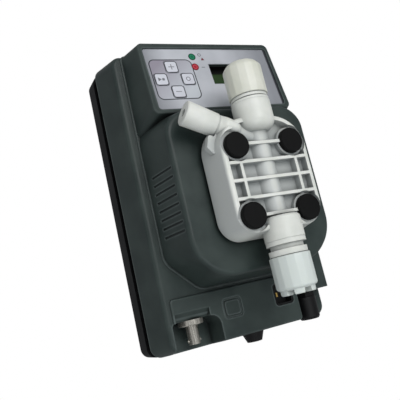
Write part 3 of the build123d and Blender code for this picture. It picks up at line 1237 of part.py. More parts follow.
with BuildPart() as blanking_plug:
    plug_front = SHOULDER_DEPTH + PAD_RAISE - PLUG_SINK
    with BuildSketch(ahead(SHOULDER_DEPTH + PAD_RAISE - PLUG_T)):
        with Locations((PLUG_X, PLUG_Z)):
            RectangleRounded(PLUG_W, PLUG_H, PLUG_R)
    extrude(amount=PLUG_T - PLUG_SINK)
    with BuildSketch(ahead(plug_front)):
        with Locations((PLUG_X, PLUG_Z)):
            RectangleRounded(PLUG_FACE_W, PLUG_FACE_H, PLUG_FACE_R)
    extrude(amount=PLUG_SINK)
blanking_plug.part.label = "blanking_plug"
export_step(blanking_plug.part, "parts/blanking_plug.step")

with BuildPart() as signal_socket:
    with BuildSketch(ahead(SHOULDER_DEPTH + PAD_RAISE - SOCKET_DEEP)):
        with Locations((SOCKET_X, SOCKET_Z)):
            RectangleRounded(SOCKET_W, SOCKET_W, SOCKET_R)
    extrude(amount=SOCKET_DEEP - PLUG_SINK)
    with BuildSketch(ahead(SHOULDER_DEPTH + PAD_RAISE - SOCKET_DEEP + SOCKET_BACK)):
        with Locations((SOCKET_X, SOCKET_Z)):
            RectangleRounded(SOCKET_W - 2 * SOCKET_RING, SOCKET_W - 2 * SOCKET_RING, SOCKET_R - SOCKET_RING)
    extrude(amount=SOCKET_DEEP, mode=Mode.SUBTRACT)
signal_socket.part.label = "signal_socket"
export_step(signal_socket.part, "parts/signal_socket.step")

with BuildPart() as socket_contacts:
    with BuildSketch(ahead(SHOULDER_DEPTH + PAD_RAISE - SOCKET_DEEP + SOCKET_BACK)):
        with Locations((SOCKET_X - CONTACT_SPREAD, SOCKET_Z), (SOCKET_X + CONTACT_SPREAD, SOCKET_Z)):
            Rectangle(CONTACT_W, CONTACT_T)
    extrude(amount=CONTACT_LENGTH)
socket_contacts.part.label = "socket_contacts"
export_step(socket_contacts.part, "parts/socket_contacts.step")
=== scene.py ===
import json
import math

import bpy
import numpy as np
from mathutils import Matrix, Vector


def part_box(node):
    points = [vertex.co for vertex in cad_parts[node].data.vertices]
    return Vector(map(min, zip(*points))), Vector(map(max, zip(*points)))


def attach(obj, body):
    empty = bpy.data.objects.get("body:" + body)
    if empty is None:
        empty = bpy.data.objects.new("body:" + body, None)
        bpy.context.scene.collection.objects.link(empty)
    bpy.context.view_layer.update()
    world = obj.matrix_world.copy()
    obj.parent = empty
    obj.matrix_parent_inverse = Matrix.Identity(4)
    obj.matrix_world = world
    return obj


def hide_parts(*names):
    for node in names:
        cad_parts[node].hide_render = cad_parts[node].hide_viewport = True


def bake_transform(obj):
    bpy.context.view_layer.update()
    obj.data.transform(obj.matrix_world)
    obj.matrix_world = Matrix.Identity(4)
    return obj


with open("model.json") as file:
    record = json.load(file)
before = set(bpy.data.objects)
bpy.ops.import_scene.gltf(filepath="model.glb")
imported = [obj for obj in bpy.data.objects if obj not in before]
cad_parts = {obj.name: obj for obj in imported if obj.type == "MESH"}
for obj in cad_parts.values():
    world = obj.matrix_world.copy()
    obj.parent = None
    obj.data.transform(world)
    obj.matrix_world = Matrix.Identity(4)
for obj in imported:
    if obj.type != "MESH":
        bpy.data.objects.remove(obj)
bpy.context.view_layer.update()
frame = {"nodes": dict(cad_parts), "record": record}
MM = 0.001


def middle(node):
    """Centre of a CAD node's box at rest."""
    low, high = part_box(node)
    return (low + high) / 2


# ---------------------------------------------------------------- camera
CAMERA_PLACE = Vector((-0.2246, -0.4421, -0.0865))
CAMERA_RIGHT = Vector((0.8854, -0.4083, -0.2223))
CAMERA_DOWN = Vector((-0.1219, 0.2575, -0.9585))
CAMERA_NEAR, CAMERA_FAR = 0.01, 20.0
FRAME_PX = 400
FOCAL_PX = 526.36
SENSOR_MM = 36.0


def add_camera():
    """Pinhole camera: lens = SENSOR_MM * FOCAL_PX / FRAME_PX, axes from its right and down vectors."""
    right = CAMERA_RIGHT.normalized()
    up = -(CAMERA_DOWN - right * CAMERA_DOWN.dot(right)).normalized()
    back = right.cross(up)
    data = bpy.data.cameras.new("camera")
    data.sensor_width = SENSOR_MM
    data.lens = SENSOR_MM * FOCAL_PX / FRAME_PX
    data.clip_start = CAMERA_NEAR
    data.clip_end = CAMERA_FAR
    camera = bpy.data.objects.new("camera", data)
    turn = Matrix((right, up, back)).transposed().to_4x4()
    camera.matrix_world = Matrix.Translation(CAMERA_PLACE) @ turn
    bpy.context.scene.collection.objects.link(camera)
    bpy.context.scene.camera = camera


# ---------------------------------------------------------------- node helpers
# a colour Mix node's sockets by index, as several share one name
MIX_FACTOR, MIX_FIRST, MIX_SECOND, MIX_RESULT = 0, 6, 7, 2
# the stretch in which most of a noise's values lie
NOISE_RANGE = (0.35, 0.65)
# rays of an occlusion node and of a bevel node
OCCLUSION_RAYS, BEVEL_RAYS = 8, 4


class Tree:
    """A node tree with short calls for adding and joining nodes."""

    def __init__(self, tree):
        self.tree = tree

    def link(self, output, socket):
        """Join an output to an input."""
        self.tree.links.new(output, socket)

    def add(self, kind, inputs=None, **settings):
        """New node with its settings; each input takes a value or another node's output."""
        node = self.tree.nodes.new(kind)
        for key, value in settings.items():
            setattr(node, key, value)
        for key, value in (inputs or {}).items():
            if isinstance(value, bpy.types.NodeSocket):
                self.link(value, node.inputs[key])
            else:
                node.inputs[key].default_value = value
        return node

    def math(self, operation, *values):
        """Result of a Math node."""
        return self.add("ShaderNodeMath", dict(enumerate(values)), operation=operation).outputs[0]

    def ramp(self, value, low, high, to_low=0.0, to_high=1.0):
        """Clamped straight line from (low, to_low) to (high, to_high)."""
        ends = {"From Min": low, "From Max": high, "To Min": to_low, "To Max": to_high}
        return self.add("ShaderNodeMapRange", {"Value": value, **ends}).outputs["Result"]

    def mix(self, factor, first, second):
        """Colour between first and second."""
        inputs = {MIX_FACTOR: factor, MIX_FIRST: first, MIX_SECOND: second}
        return self.add("ShaderNodeMix", inputs, data_type="RGBA").outputs[MIX_RESULT]

    def noise(self, place, scale, detail=2.0):
        """Value of a noise, about 0.5 on average."""
        inputs = {"Vector": place, "Scale": scale, "Detail": detail}
        return self.add("ShaderNodeTexNoise", inputs).outputs["Fac"]

    def occlusion(self, reach, inside=False):
        """Share of rays that run free for the reach, outside the surface or inside it."""
        settings = {"samples": OCCLUSION_RAYS, "inside": inside}
        return self.add("ShaderNodeAmbientOcclusion", {"Distance": reach}, **settings).outputs["AO"]

    def group(self, node_tree, **inputs):
        """Outputs of a placed group."""
        return self.add("ShaderNodeGroup", inputs, node_tree=node_tree).outputs

    def split(self, place):
        """The X, Y and Z outputs of a vector."""
        return self.add("ShaderNodeSeparateXYZ", {"Vector": place}).outputs


def colour(red, green, blue):
    """Linear colour of an sRGB one in 0..255, by the sRGB curve."""
    def line(value):
        share = value / 255
        return share / 12.92 if share <= 0.04045 else ((share + 0.055) / 1.055) ** 2.4
    return (line(red), line(green), line(blue), 1.0)


def shader_group(name, inputs, outputs):
    """Empty group; inputs are (name, socket type, default), outputs are names of float sockets."""
    group = bpy.data.node_groups.new(name, "ShaderNodeTree")
    for label, kind, value in inputs:
        group.interface.new_socket(label, in_out="INPUT", socket_type=kind).default_value = value
    for label in outputs:
        group.interface.new_socket(label, in_out="OUTPUT", socket_type="NodeSocketFloat")
    tree = Tree(group)
    return group, tree, tree.add("NodeGroupInput").outputs, tree.add("NodeGroupOutput").inputs


PLACE_INPUT = ("Vector", "NodeSocketVector", (0, 0, 0))


# ---------------------------------------------------------------- moulded surface
MOULD_GRAIN, MOULD_PATCH, PATCH_DETAIL = 2500.0, 40.0, 3.0
SWELL_SHARE = 0.6


def make_grain_group():
    """Moulded surface: Height = fine noise plus SWELL_SHARE of a slow noise, Tone = slow noise 0..1."""
    group, tree, given, result = shader_group(
        "moulded_grain",
        [PLACE_INPUT, ("Grain", "NodeSocketFloat", MOULD_GRAIN), ("Patch", "NodeSocketFloat", MOULD_PATCH)],
        ["Height", "Tone"],
    )
    fine = tree.noise(given["Vector"], given["Grain"])
    slow = tree.noise(given["Vector"], given["Patch"], PATCH_DETAIL)
    tree.link(tree.math("ADD", fine, tree.math("MULTIPLY", slow, SWELL_SHARE)), result["Height"])
    tree.link(tree.ramp(slow, *NOISE_RANGE), result["Tone"])
    return group


EDGE_REACH = 0.0015
# inside occlusion at which the painted edge highlight starts and at which it is full
EDGE_START, EDGE_FULL = 0.97, 0.7
# noise along the painted edge highlight: scale, its range and the strengths that this gives
EDGE_PATCH, EDGE_BREAKS = 60.0, (0.3, 0.6, 0.5, 1.0)


def make_edge_highlight_group():
    """Painted highlight on each edge: Mask rises where rays into the solid soon come out, broken by slow
    noise.
    """
    group, tree, given, result = shader_group(
        "edge_light", [PLACE_INPUT, ("Reach", "NodeSocketFloat", EDGE_REACH)], ["Mask"]
    )
    depth = tree.occlusion(given["Reach"], inside=True)
    edge = tree.ramp(depth, EDGE_START, EDGE_FULL)
    breaks = tree.ramp(tree.noise(given["Vector"], EDGE_PATCH), *EDGE_BREAKS)
    tree.link(tree.math("MULTIPLY", edge, breaks), result["Mask"])
    return group


# where the painted shade's mask starts and where it is full: depths past the front face, heights at its top
# and foot
FACE_DEPTH = (-0.1278, -0.1266)
FACE_TOP = (0.030, 0.020)
FACE_FOOT = (-0.054, -0.046)


def make_recess_shade_group():
    """Painted shade behind the head's front face: Mask rises with Y past the face, and fades above and below
    it.
    """
    group, tree, given, result = shader_group("head_recess_shade", [PLACE_INPUT], ["Mask"])
    place = tree.split(given["Vector"])
    behind = tree.ramp(place["Y"], *FACE_DEPTH)
    band = tree.math("MULTIPLY", tree.ramp(place["Z"], *FACE_TOP), tree.ramp(place["Z"], *FACE_FOOT))
    tree.link(tree.math("MULTIPLY", behind, band), result["Mask"])
    return group


GRAIN = make_grain_group()
EDGE_HIGHLIGHT = make_edge_highlight_group()
HEAD_RECESS_SHADE = make_recess_shade_group()
# the finished materials by their slot's name
MATERIALS = {}


def start_material(name):
    """New material for the slot of that name: its tree, Principled BSDF and object coordinates."""
    made = bpy.data.materials.new(name)
    made.use_nodes = True
    MATERIALS[name] = made
    tree = Tree(made.node_tree)
    shader = made.node_tree.nodes["Principled BSDF"]
    place = tree.add("ShaderNodeTexCoord").outputs["Object"]
    return tree, shader, place


# openness of the surface at which the painted shade in a hollow is full, and at which there is none
HOLLOW_SHADE_RANGE = (0.25, 0.98)


def painted_hollow_shade(shade, share=0.75, reach=0.014):
    """Step of a finish: painted shade, towards the shade colour where the surface sees little round it within
    the reach.
    """
    def step(tree, place, tint):
        return tree.mix(tree.ramp(tree.occlusion(reach), *HOLLOW_SHADE_RANGE, share, 0.0), tint, shade)
    return step


def painted_edge_highlight(shade, share):
    """Step of a finish: painted highlight, towards the given colour along each edge."""
    def step(tree, place, tint):
        mask = tree.group(EDGE_HIGHLIGHT, Vector=place)["Mask"]
        return tree.mix(tree.math("MULTIPLY", mask, share), tint, shade)
    return step


def painted_shade_behind_face(shade):
    """Step of a finish: painted shade, towards the given colour behind the pump head's front face."""
    def step(tree, place, tint):
        return tree.mix(tree.group(HEAD_RECESS_SHADE, Vector=place)["Mask"], tint, shade)
    return step


# heights between which the tint of the upper union gives way to that of the lower one
UNION_CHANGE = (0.02, -0.07)


def below_drive(shade):
    """Step of a finish: towards the shade below the drive's axis."""
    def step(tree, place, tint):
        return tree.mix(tree.ramp(tree.split(place)["Z"], *UNION_CHANGE), tint, shade)
    return step


# how far the slow patches take the roughness either way, and the height of the grain
ROUGH_BELOW, ROUGH_ABOVE = 0.04, 0.05
GRAIN_HEIGHT = 0.0002


def moulded(
    name, dark, light, rough, *steps, grain=MOULD_GRAIN, patch=MOULD_PATCH, bump=0.15, soft=0.0, **sockets
):
    """Moulded plastic: colour between dark and light by slow patches, changed by each step in turn;
    fine grain bump, with each edge softened over the radius soft; sockets of the shader by name."""
    tree, shader, place = start_material(name)
    surface = tree.group(GRAIN, Vector=place, Grain=grain, Patch=patch)
    tone = surface["Tone"]
    tint = tree.mix(tone, dark, light)
    for step in steps:
        tint = step(tree, place, tint)
    tree.link(tint, shader.inputs["Base Color"])
    tree.link(tree.ramp(tone, 0.0, 1.0, rough - ROUGH_BELOW, rough + ROUGH_ABOVE), shader.inputs["Roughness"])
    heights = {"Strength": bump, "Distance": GRAIN_HEIGHT, "Height": surface["Height"]}
    relief = tree.add("ShaderNodeBump", heights)
    if soft:
        rounded = tree.add("ShaderNodeBevel", {"Radius": soft}, samples=BEVEL_RAYS).outputs["Normal"]
        tree.link(rounded, relief.inputs["Normal"])
    tree.link(relief.outputs["Normal"], shader.inputs["Normal"])
    for key, value in sockets.items():
        shader.inputs[key.replace("_", " ")].default_value = value


# ---------------------------------------------------------------- metal
BRUSH_SCALE = (1500.0, 1500.0, 60.0)
BRUSH_RANGE = (0.3, 0.7)
BRUSH_ROUGH = 0.15
BRUSH_BUMP, BRUSH_HEIGHT, BRUSH_DETAIL = 0.1, 0.0001, 3.0


def metal(name, dark, light, rough, shine=1.0):
    """Metal with fine brushing: noise stretched by BRUSH_SCALE drives colour, roughness and bump."""
    tree, shader, place = start_material(name)
    stretched = tree.add("ShaderNodeMapping", {"Vector": place, "Scale": BRUSH_SCALE}).outputs["Vector"]
    streak = tree.noise(stretched, 1.0, BRUSH_DETAIL)
    tree.link(tree.mix(tree.ramp(streak, *BRUSH_RANGE), dark, light), shader.inputs["Base Color"])
    tree.link(tree.ramp(streak, *BRUSH_RANGE, rough, rough + BRUSH_ROUGH), shader.inputs["Roughness"])
    shader.inputs["Metallic"].default_value = shine
    relief = tree.add("ShaderNodeBump", {"Strength": BRUSH_BUMP, "Distance": BRUSH_HEIGHT, "Height": streak})
    tree.link(relief.outputs["Normal"], shader.inputs["Normal"])


# ---------------------------------------------------------------- places on the label
# depth and height of the label's centre in mm, and its lean from upright
LABEL_DEPTH, LABEL_HEIGHT = -83.25, 89.75
LABEL_LEAN = math.radians(8.84)


def make_label_place_group():
    """Place on the label in mm: X across; V = (y - depth) sin(lean) + (z - height) cos(lean), up it."""
    group, tree, given, result = shader_group("label_place", [PLACE_INPUT], ["X", "V"])
    place = tree.split(given["Vector"])
    rise, run = math.cos(LABEL_LEAN), math.sin(LABEL_LEAN)
    deep = tree.math("MULTIPLY_ADD", place["Y"], run / MM, -LABEL_DEPTH * run)
    high = tree.math("MULTIPLY_ADD", place["Z"], rise / MM, -LABEL_HEIGHT * rise)
    tree.link(tree.math("MULTIPLY", place["X"], 1 / MM), result["X"])
    tree.link(tree.math("ADD", deep, high), result["V"])
    return group


def make_box_group():
    """Distance in mm to a rounded box: length(max(q, 0)) + min(max(q), 0) - Round, q = |p| - half + Round."""
    names = ("X", "V", "Half X", "Half V", "Round")
    group, tree, given, result = shader_group(
        "rounded_box", [(name, "NodeSocketFloat", 0.0) for name in names], ["Distance"]
    )
    sides = []
    for place, half in (("X", "Half X"), ("V", "Half V")):
        core = tree.math("SUBTRACT", given[half], given["Round"])
        sides.append(tree.math("SUBTRACT", tree.math("ABSOLUTE", given[place]), core))
    squares = [tree.math("POWER", tree.math("MAXIMUM", side, 0.0), 2.0) for side in sides]
    reach = tree.math("SQRT", tree.math("ADD", *squares))
    inner = tree.math("MINIMUM", tree.math("MAXIMUM", *sides), 0.0)
    tree.link(tree.math("SUBTRACT", tree.math("ADD", reach, inner), given["Round"]), result["Distance"])
    return group


LABEL_PLACE = make_label_place_group()
ROUNDED_BOX = make_box_group()
# half the width of a print's soft edge, in mm
PRINT_SOFT = 0.12
# sine and cosine of the slant of a small triangle's sides, and how far its foot lies from its place
SLANT_ALONG, SLANT_ACROSS = 0.5, 0.87
TRIANGLE_FOOT = 0.9


def label_place(tree, place):
    """The outputs X and V of a place on the label."""
    spot = tree.group(LABEL_PLACE, Vector=place)
    return spot["X"], spot["V"]


def shifted(tree, value, by):
    """The value less by."""
    return tree.math("SUBTRACT", value, by)


def moved_to(tree, x, v, centre):
    """The place x, v as seen from the centre."""
    return shifted(tree, x, centre[0]), shifted(tree, v, centre[1])


def box_distance(tree, x, v, half_x, half_v, rounding=0.0):
    """Distance to the outline of a rounded box."""
    inputs = {"X": x, "V": v, "Half X": half_x, "Half V": half_v, "Round": rounding}
    return tree.group(ROUNDED_BOX, **inputs)["Distance"]


def radius_of(tree, x, v):
    """Distance of x, v from their origin: sqrt(x^2 + v^2)."""
    return tree.math("SQRT", tree.math("ADD", tree.math("POWER", x, 2.0), tree.math("POWER", v, 2.0)))


def triangle_distance(tree, along, across, reach):
    """Distance to a triangle that points along: max(along / 2 + 0.87 |across| - reach, -foot - along)."""
    slant = tree.math("MULTIPLY_ADD", tree.math("ABSOLUTE", across), SLANT_ACROSS, -reach)
    side = tree.math("MULTIPLY_ADD", along, SLANT_ALONG, slant)
    return tree.math("MAXIMUM", side, tree.math("SUBTRACT", -TRIANGLE_FOOT, along))


def filled(tree, distance):
    """1 inside the outline, 0 outside, with a soft edge."""
    return tree.ramp(distance, PRINT_SOFT, -PRINT_SOFT)


def stroked(tree, distance, width):
    """1 on a line of the given width along the outline."""
    away = tree.math("ABSOLUTE", distance)
    return tree.ramp(away, width / 2 + PRINT_SOFT, width / 2 - PRINT_SOFT)


def film_finish(tree, shader, tint, rough, gloss):
    """Smooth printed film over the tint."""
    tree.link(tint, shader.inputs["Base Color"])
    shader.inputs["Roughness"].default_value = rough
    shader.inputs["Specular IOR Level"].default_value = gloss


# ---------------------------------------------------------------- label film
# lengths in mm, places across and up from the label's centre
INK = colour(38, 42, 48)
FILM_ROUGH, FILM_GLOSS = 0.36, 0.3
FILM_DARK, FILM_LIGHT, FILM_PATCH = colour(190, 193, 199), colour(204, 206, 212), 45.0
# darker stretches of the film towards its sides, the last one a painted shadow of the rim's wall along its
# right edge: x where each starts, x where it is full, its strength there, its colour
FILM_DARKENING_AND_SHADOW = (
    (14.0, 52.0, 0.8, colour(132, 134, 140)),
    (-40.0, -58.0, 0.75, colour(136, 138, 144)),
    (57.6, 58.6, 1.0, colour(52, 53, 58)),
)
LABEL_HALF, LABEL_ROUND = (60.0, 29.3), 3.0
# painted shadow of the rim's wall round the label's edge: distances from its outline where it starts and
# where it is full, its strength there, its colour
BORDER_SHADOW_RANGE, BORDER_SHADOW_SHARE, BORDER_SHADOW = (-0.9, -0.3), 0.75, colour(60, 62, 68)
FIELD_CENTRE, FIELD_HALF, FIELD_ROUND, FIELD_LINE = (-37.85, -0.8), (19.25, 19.0), 5.0, 0.85
FIELD_LIGHT, FIELD_DARK = colour(208, 212, 218), colour(156, 150, 162)
# the field darkens up and to the left, between these distances along the diagonal
FIELD_RANGE, DIAGONAL = (-16.0, 18.0), 0.7
RING_CENTRE, RING_RADIUS, RING_LINE = (-8.4, 23.2), 1.3, 0.5
TRIANGLE_CENTRE, TRIANGLE_REACH, TRIANGLE_SHADE = (-6.6, 18.6), 1.0, colour(120, 48, 58)
BAR_CENTRE, BAR_HALF, BAR_ROUND = (-8.2, 10.6), (1.6, 0.3), 0.2
SIGN_INK = 0.85


def make_label():
    """Grey film, darker towards its sides, with a painted shadow round its edge: a lilac field with an
    outline round the keys, small signs beside the lamps.
    """
    tree, shader, place = start_material("label_film")
    x, v = label_place(tree, place)
    tint = tree.mix(tree.ramp(tree.noise(place, FILM_PATCH), *NOISE_RANGE), FILM_DARK, FILM_LIGHT)
    # darker towards the sides, with painted shadow along the right edge and round the whole edge
    for start, full, share, shade in FILM_DARKENING_AND_SHADOW:
        tint = tree.mix(tree.ramp(x, start, full, 0.0, share), tint, shade)
    border = box_distance(tree, x, v, *LABEL_HALF, LABEL_ROUND)
    tint = tree.mix(tree.ramp(border, *BORDER_SHADOW_RANGE, 0.0, BORDER_SHADOW_SHARE), tint, BORDER_SHADOW)
    field_x, field_v = moved_to(tree, x, v, FIELD_CENTRE)
    field = box_distance(tree, field_x, field_v, *FIELD_HALF, FIELD_ROUND)
    diagonal = tree.math("ADD", tree.math("MULTIPLY", field_x, -DIAGONAL), tree.math("MULTIPLY", v, DIAGONAL))
    field_shade = tree.mix(tree.ramp(diagonal, *FIELD_RANGE), FIELD_LIGHT, FIELD_DARK)
    tint = tree.mix(filled(tree, field), tint, field_shade)
    ring = shifted(tree, radius_of(tree, *moved_to(tree, x, v, RING_CENTRE)), RING_RADIUS)
    bar = box_distance(tree, *moved_to(tree, x, v, BAR_CENTRE), *BAR_HALF, BAR_ROUND)
    signs = tree.math("MAXIMUM", stroked(tree, ring, RING_LINE), filled(tree, bar))
    ink = tree.math("MAXIMUM", stroked(tree, field, FIELD_LINE), tree.math("MULTIPLY", signs, SIGN_INK))
    tint = tree.mix(ink, tint, INK)
    across, along = moved_to(tree, x, v, TRIANGLE_CENTRE)
    triangle = triangle_distance(tree, along, across, TRIANGLE_REACH)
    tint = tree.mix(filled(tree, triangle), tint, TRIANGLE_SHADE)
    film_finish(tree, shader, tint, FILM_ROUGH, FILM_GLOSS)


# ---------------------------------------------------------------- keys
KEY_CENTRE = (middle("key_up").x / MM, -1.0)
KEY_PITCH = (middle("key_set").x - middle("key_run").x) / 2 / MM
KEY_SHADE = colour(220, 221, 229)
# the outline runs a little inside the key's edge
OUTLINE_HALF, OUTLINE_ROUND, OUTLINE_LINE = 5.4, 2.2, 0.75
# plus and minus: half the length, half the thickness of each
ARM, PLUS_HALF, MINUS_HALF = 2.6, 0.35, 0.3
# the run key's square, right of the key's middle, and its arrow, left of it
SQUARE_SHIFT, SQUARE_HALF, SQUARE_ROUND = 1.7, 1.1, 0.2
ARROW_SHIFT, ARROW_REACH = -2.0, 1.1
SET_RADIUS, SET_LINE = 1.7, 0.6
KEY_INK = 0.75


def make_keys():
    """Key film: an outline at each key's edge and one plain sign on each key."""
    tree, shader, place = start_material("key_rubber")
    x, v = moved_to(tree, *label_place(tree, place), KEY_CENTRE)
    across, along = tree.math("ABSOLUTE", x), tree.math("ABSOLUTE", v)
    far, near = tree.math("MAXIMUM", across, along), tree.math("MINIMUM", across, along)
    edge = box_distance(tree, shifted(tree, far, KEY_PITCH), near, OUTLINE_HALF, OUTLINE_HALF, OUTLINE_ROUND)
    up, down = shifted(tree, v, KEY_PITCH), shifted(tree, v, -KEY_PITCH)
    left, right = shifted(tree, x, -KEY_PITCH), shifted(tree, x, KEY_PITCH)
    sign = box_distance(tree, x, up, ARM, PLUS_HALF)
    for other in (
        box_distance(tree, x, up, PLUS_HALF, ARM),
        box_distance(tree, x, down, ARM, MINUS_HALF),
        box_distance(tree, shifted(tree, left, SQUARE_SHIFT), v, SQUARE_HALF, SQUARE_HALF, SQUARE_ROUND),
        triangle_distance(tree, shifted(tree, left, ARROW_SHIFT), v, ARROW_REACH),
    ):
        sign = tree.math("MINIMUM", sign, other)
    ring = stroked(tree, shifted(tree, radius_of(tree, right, v), SET_RADIUS), SET_LINE)
    signs = tree.math("MAXIMUM", filled(tree, sign), ring)
    ink = tree.math("MAXIMUM", stroked(tree, edge, OUTLINE_LINE), tree.math("MULTIPLY", signs, KEY_INK))
    film_finish(tree, shader, tree.mix(ink, KEY_SHADE, INK), FILM_ROUGH, FILM_GLOSS)


# ---------------------------------------------------------------- lamps and display
LAMP_CENTRES = {"lamp_green": (-15.9, 21.2), "lamp_red": (-15.9, 11.0)}
LAMP_RIM = (2.5, 3.0)
LAMP_RING, LAMP_LINE = 1.7, 0.7
LAMP_ROUGH, DISPLAY_ROUGH, LENS_GLOSS = 0.45, 0.5, 0.15
DISPLAY_DARK, DISPLAY_LIGHT, DISPLAY_PATCH = colour(44, 66, 36), colour(52, 76, 42), 120.0
# heights up the label between which a painted shadow of the bezel turns the display's glass black
DISPLAY_SHADOW_BAND, DISPLAY_SHADOW = (7.8, 9.2), colour(8, 9, 8)


def make_lamp(name, rim, body, glow):
    """Lamp lens: dark rim, coloured body and a lighter ring inside, all by the radius."""
    tree, shader, place = start_material(name)
    radius = radius_of(tree, *moved_to(tree, *label_place(tree, place), LAMP_CENTRES[name]))
    tint = tree.mix(tree.ramp(radius, *LAMP_RIM), body, rim)
    tint = tree.mix(stroked(tree, shifted(tree, radius, LAMP_RING), LAMP_LINE), tint, glow)
    film_finish(tree, shader, tint, LAMP_ROUGH, LENS_GLOSS)


def make_display():
    """Display glass: dark green with slow patches, and a painted shadow of the bezel that turns its upper
    band black by the height V.
    """
    tree, shader, place = start_material("display_glass")
    v = label_place(tree, place)[1]
    patches = tree.ramp(tree.noise(place, DISPLAY_PATCH), *NOISE_RANGE)
    tint = tree.mix(patches, DISPLAY_DARK, DISPLAY_LIGHT)
    # painted shadow of the bezel over the upper band
    tint = tree.mix(tree.ramp(v, *DISPLAY_SHADOW_BAND), tint, DISPLAY_SHADOW)
    film_finish(tree, shader, tint, DISPLAY_ROUGH, LENS_GLOSS)


# ---------------------------------------------------------------- finishes
# milky plastic of the pump head and the unions, which lets a little light in
MILKY = {
    "grain": 1800.0, "patch": 60.0, "bump": 0.08, "Subsurface_Weight": 0.2,
    "Subsurface_Radius": (1.0, 0.97, 0.85), "Subsurface_Scale": 0.002,
}


def make_materials():
    """One material for each slot of the record."""
    # housing: painted shade in each hollow and a painted highlight along each edge
    moulded(
        "housing_plastic", colour(44, 54, 52), colour(57, 67, 64), 0.42,
        painted_hollow_shade(colour(12, 15, 15), 0.8, 0.006), painted_edge_highlight(colour(108, 118, 116), 0.5),
        soft=0.0009, Specular_IOR_Level=0.32,
    )
    moulded(
        "cover_plastic", colour(13, 13, 14), colour(20, 20, 21), 0.5, soft=0.0008, Specular_IOR_Level=0.1
    )
    # seal band: near black and dull, its own black and a painted shadow of the gap between the rear cover and
    # the housing
    moulded("seal_rubber", colour(3, 3, 3), colour(6, 6, 6), 0.9, Specular_IOR_Level=0.03)
    # pump head: painted shade behind its front face and in each hollow
    moulded(
        "head_plastic", colour(228, 230, 222), colour(240, 241, 234), 0.36,
        painted_shade_behind_face(colour(206, 209, 206)), painted_hollow_shade(colour(128, 132, 132)), soft=0.0007, **MILKY
    )
    # unions: painted shade in each hollow
    moulded(
        "union_plastic", colour(226, 227, 213), colour(236, 236, 224), 0.36,
        below_drive(colour(223, 230, 225)), painted_hollow_shade(colour(170, 172, 168)), soft=0.0005, **MILKY
    )
    moulded(
        "cap_plastic", colour(6, 6, 6), colour(13, 13, 13), 0.6,
        grain=3500.0, bump=0.3, Specular_IOR_Level=0.16,
    )
    make_label()
    make_keys()
    make_lamp("lamp_green", colour(10, 64, 44), colour(22, 112, 78), colour(44, 134, 100))
    make_lamp("lamp_red", colour(104, 20, 32), colour(178, 40, 54), colour(204, 88, 98))
    make_display()
    moulded("black_plastic", colour(10, 10, 11), colour(18, 18, 19), 0.45, Specular_IOR_Level=0.25)
    moulded("board_laminate", colour(18, 92, 50), colour(26, 108, 60), 0.4)
    moulded("component_black", colour(24, 24, 24), colour(34, 34, 34), 0.5)
    moulded("terminal_green", colour(60, 130, 70), colour(70, 142, 80), 0.5)
    moulded("coil_plastic", colour(36, 36, 38), colour(46, 46, 48), 0.5)
    moulded("ptfe", colour(236, 236, 232), colour(242, 242, 240), 0.45)
    moulded("ceramic", colour(238, 236, 228), colour(246, 244, 238), 0.15, bump=0.0)
    moulded("elastomer", colour(18, 18, 18), colour(28, 28, 28), 0.65)
    metal("steel", colour(150, 150, 152), colour(190, 190, 192), 0.3)
    metal("copper", colour(176, 96, 52), colour(206, 124, 76), 0.35)
    metal("brass", colour(190, 156, 84), colour(214, 182, 110), 0.28)
    metal("nickel", colour(172, 168, 159), colour(216, 211, 201), 0.2, shine=0.75)


def dress_nodes():
    """Each carried-over CAD node gets the material of its slot."""
    for row in frame["record"]["subparts"]:
        slots = frame["nodes"][row["node"]].data.materials
        slots.clear()
        slots.append(MATERIALS[row["material_slot"]])


# ---------------------------------------------------------------- new pieces
def turn_steps(count):
    """Angles of count equal steps round a full turn."""
    return np.linspace(0, 2 * np.pi, count, endpoint=False)[None, :]


def grid_piece(name, points, body, material_slot, sharp, capped=False):
    """Object whose faces join the neighbours of a (rows, columns, 3) grid, closed round each row; the rows
    close on themselves too, or their first and last are capped by one face each. Edges over sharp degrees
    stay sharp. A piece that is blended between two bodies rides on none."""
    rows, columns = points.shape[:2]
    index = np.arange(rows * columns).reshape(rows, columns)
    across = np.roll(index, -1, axis=1)
    faces = np.stack([index, across, np.roll(across, -1, axis=0), np.roll(index, -1, axis=0)], axis=-1)
    if capped:
        caps = [index[0, ::-1].tolist(), index[-1].tolist()]
        faces = faces[:-1].reshape(-1, 4).tolist() + caps
    else:
        faces = faces.reshape(-1, 4).tolist()
    mesh = bpy.data.meshes.new(name)
    mesh.from_pydata(points.reshape(-1, 3).tolist(), [], faces)
    mesh.shade_smooth()
    mesh.set_sharp_from_angle(angle=math.radians(sharp))
    mesh.materials.append(MATERIALS[material_slot])
    made = bpy.data.objects.new(name, mesh)
    bpy.context.scene.collection.objects.link(made)
    if body is not None:
        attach(made, body)
    return made


# ---------------------------------------------------------------- union nuts
# sections in mm: radius, height from the open end, share of the soft polygon
NUT_RADIUS, NUT_LENGTH, NUT_BORE = 15.29, 28.0, 12.5
NUT_SKIRT = [
    (NUT_BORE, 0.0, 0), (14.6, 0.0, 1), (15.15, 0.25, 1), (NUT_RADIUS, 0.8, 1), (NUT_RADIUS, 12.0, 1),
]
NUT_INSIDE = [(6.2, 23.8, 0), (9.0, 23.8, 0), (9.0, 14.5, 0), (NUT_BORE, 14.5, 0)]
SUCTION_NUT = NUT_SKIRT + [
    (NUT_RADIUS, 21.6, 1), (15.1, 22.6, 1), (14.4, 23.5, 1), (13.0, 24.1, 0.5), (12.9, 24.6, 0),
    (12.8, 27.3, 0), (12.4, 27.9, 0), (11.8, NUT_LENGTH, 0), (7.0, NUT_LENGTH, 0), (6.4, 27.6, 0),
    (6.2, 24.6, 0),
] + NUT_INSIDE
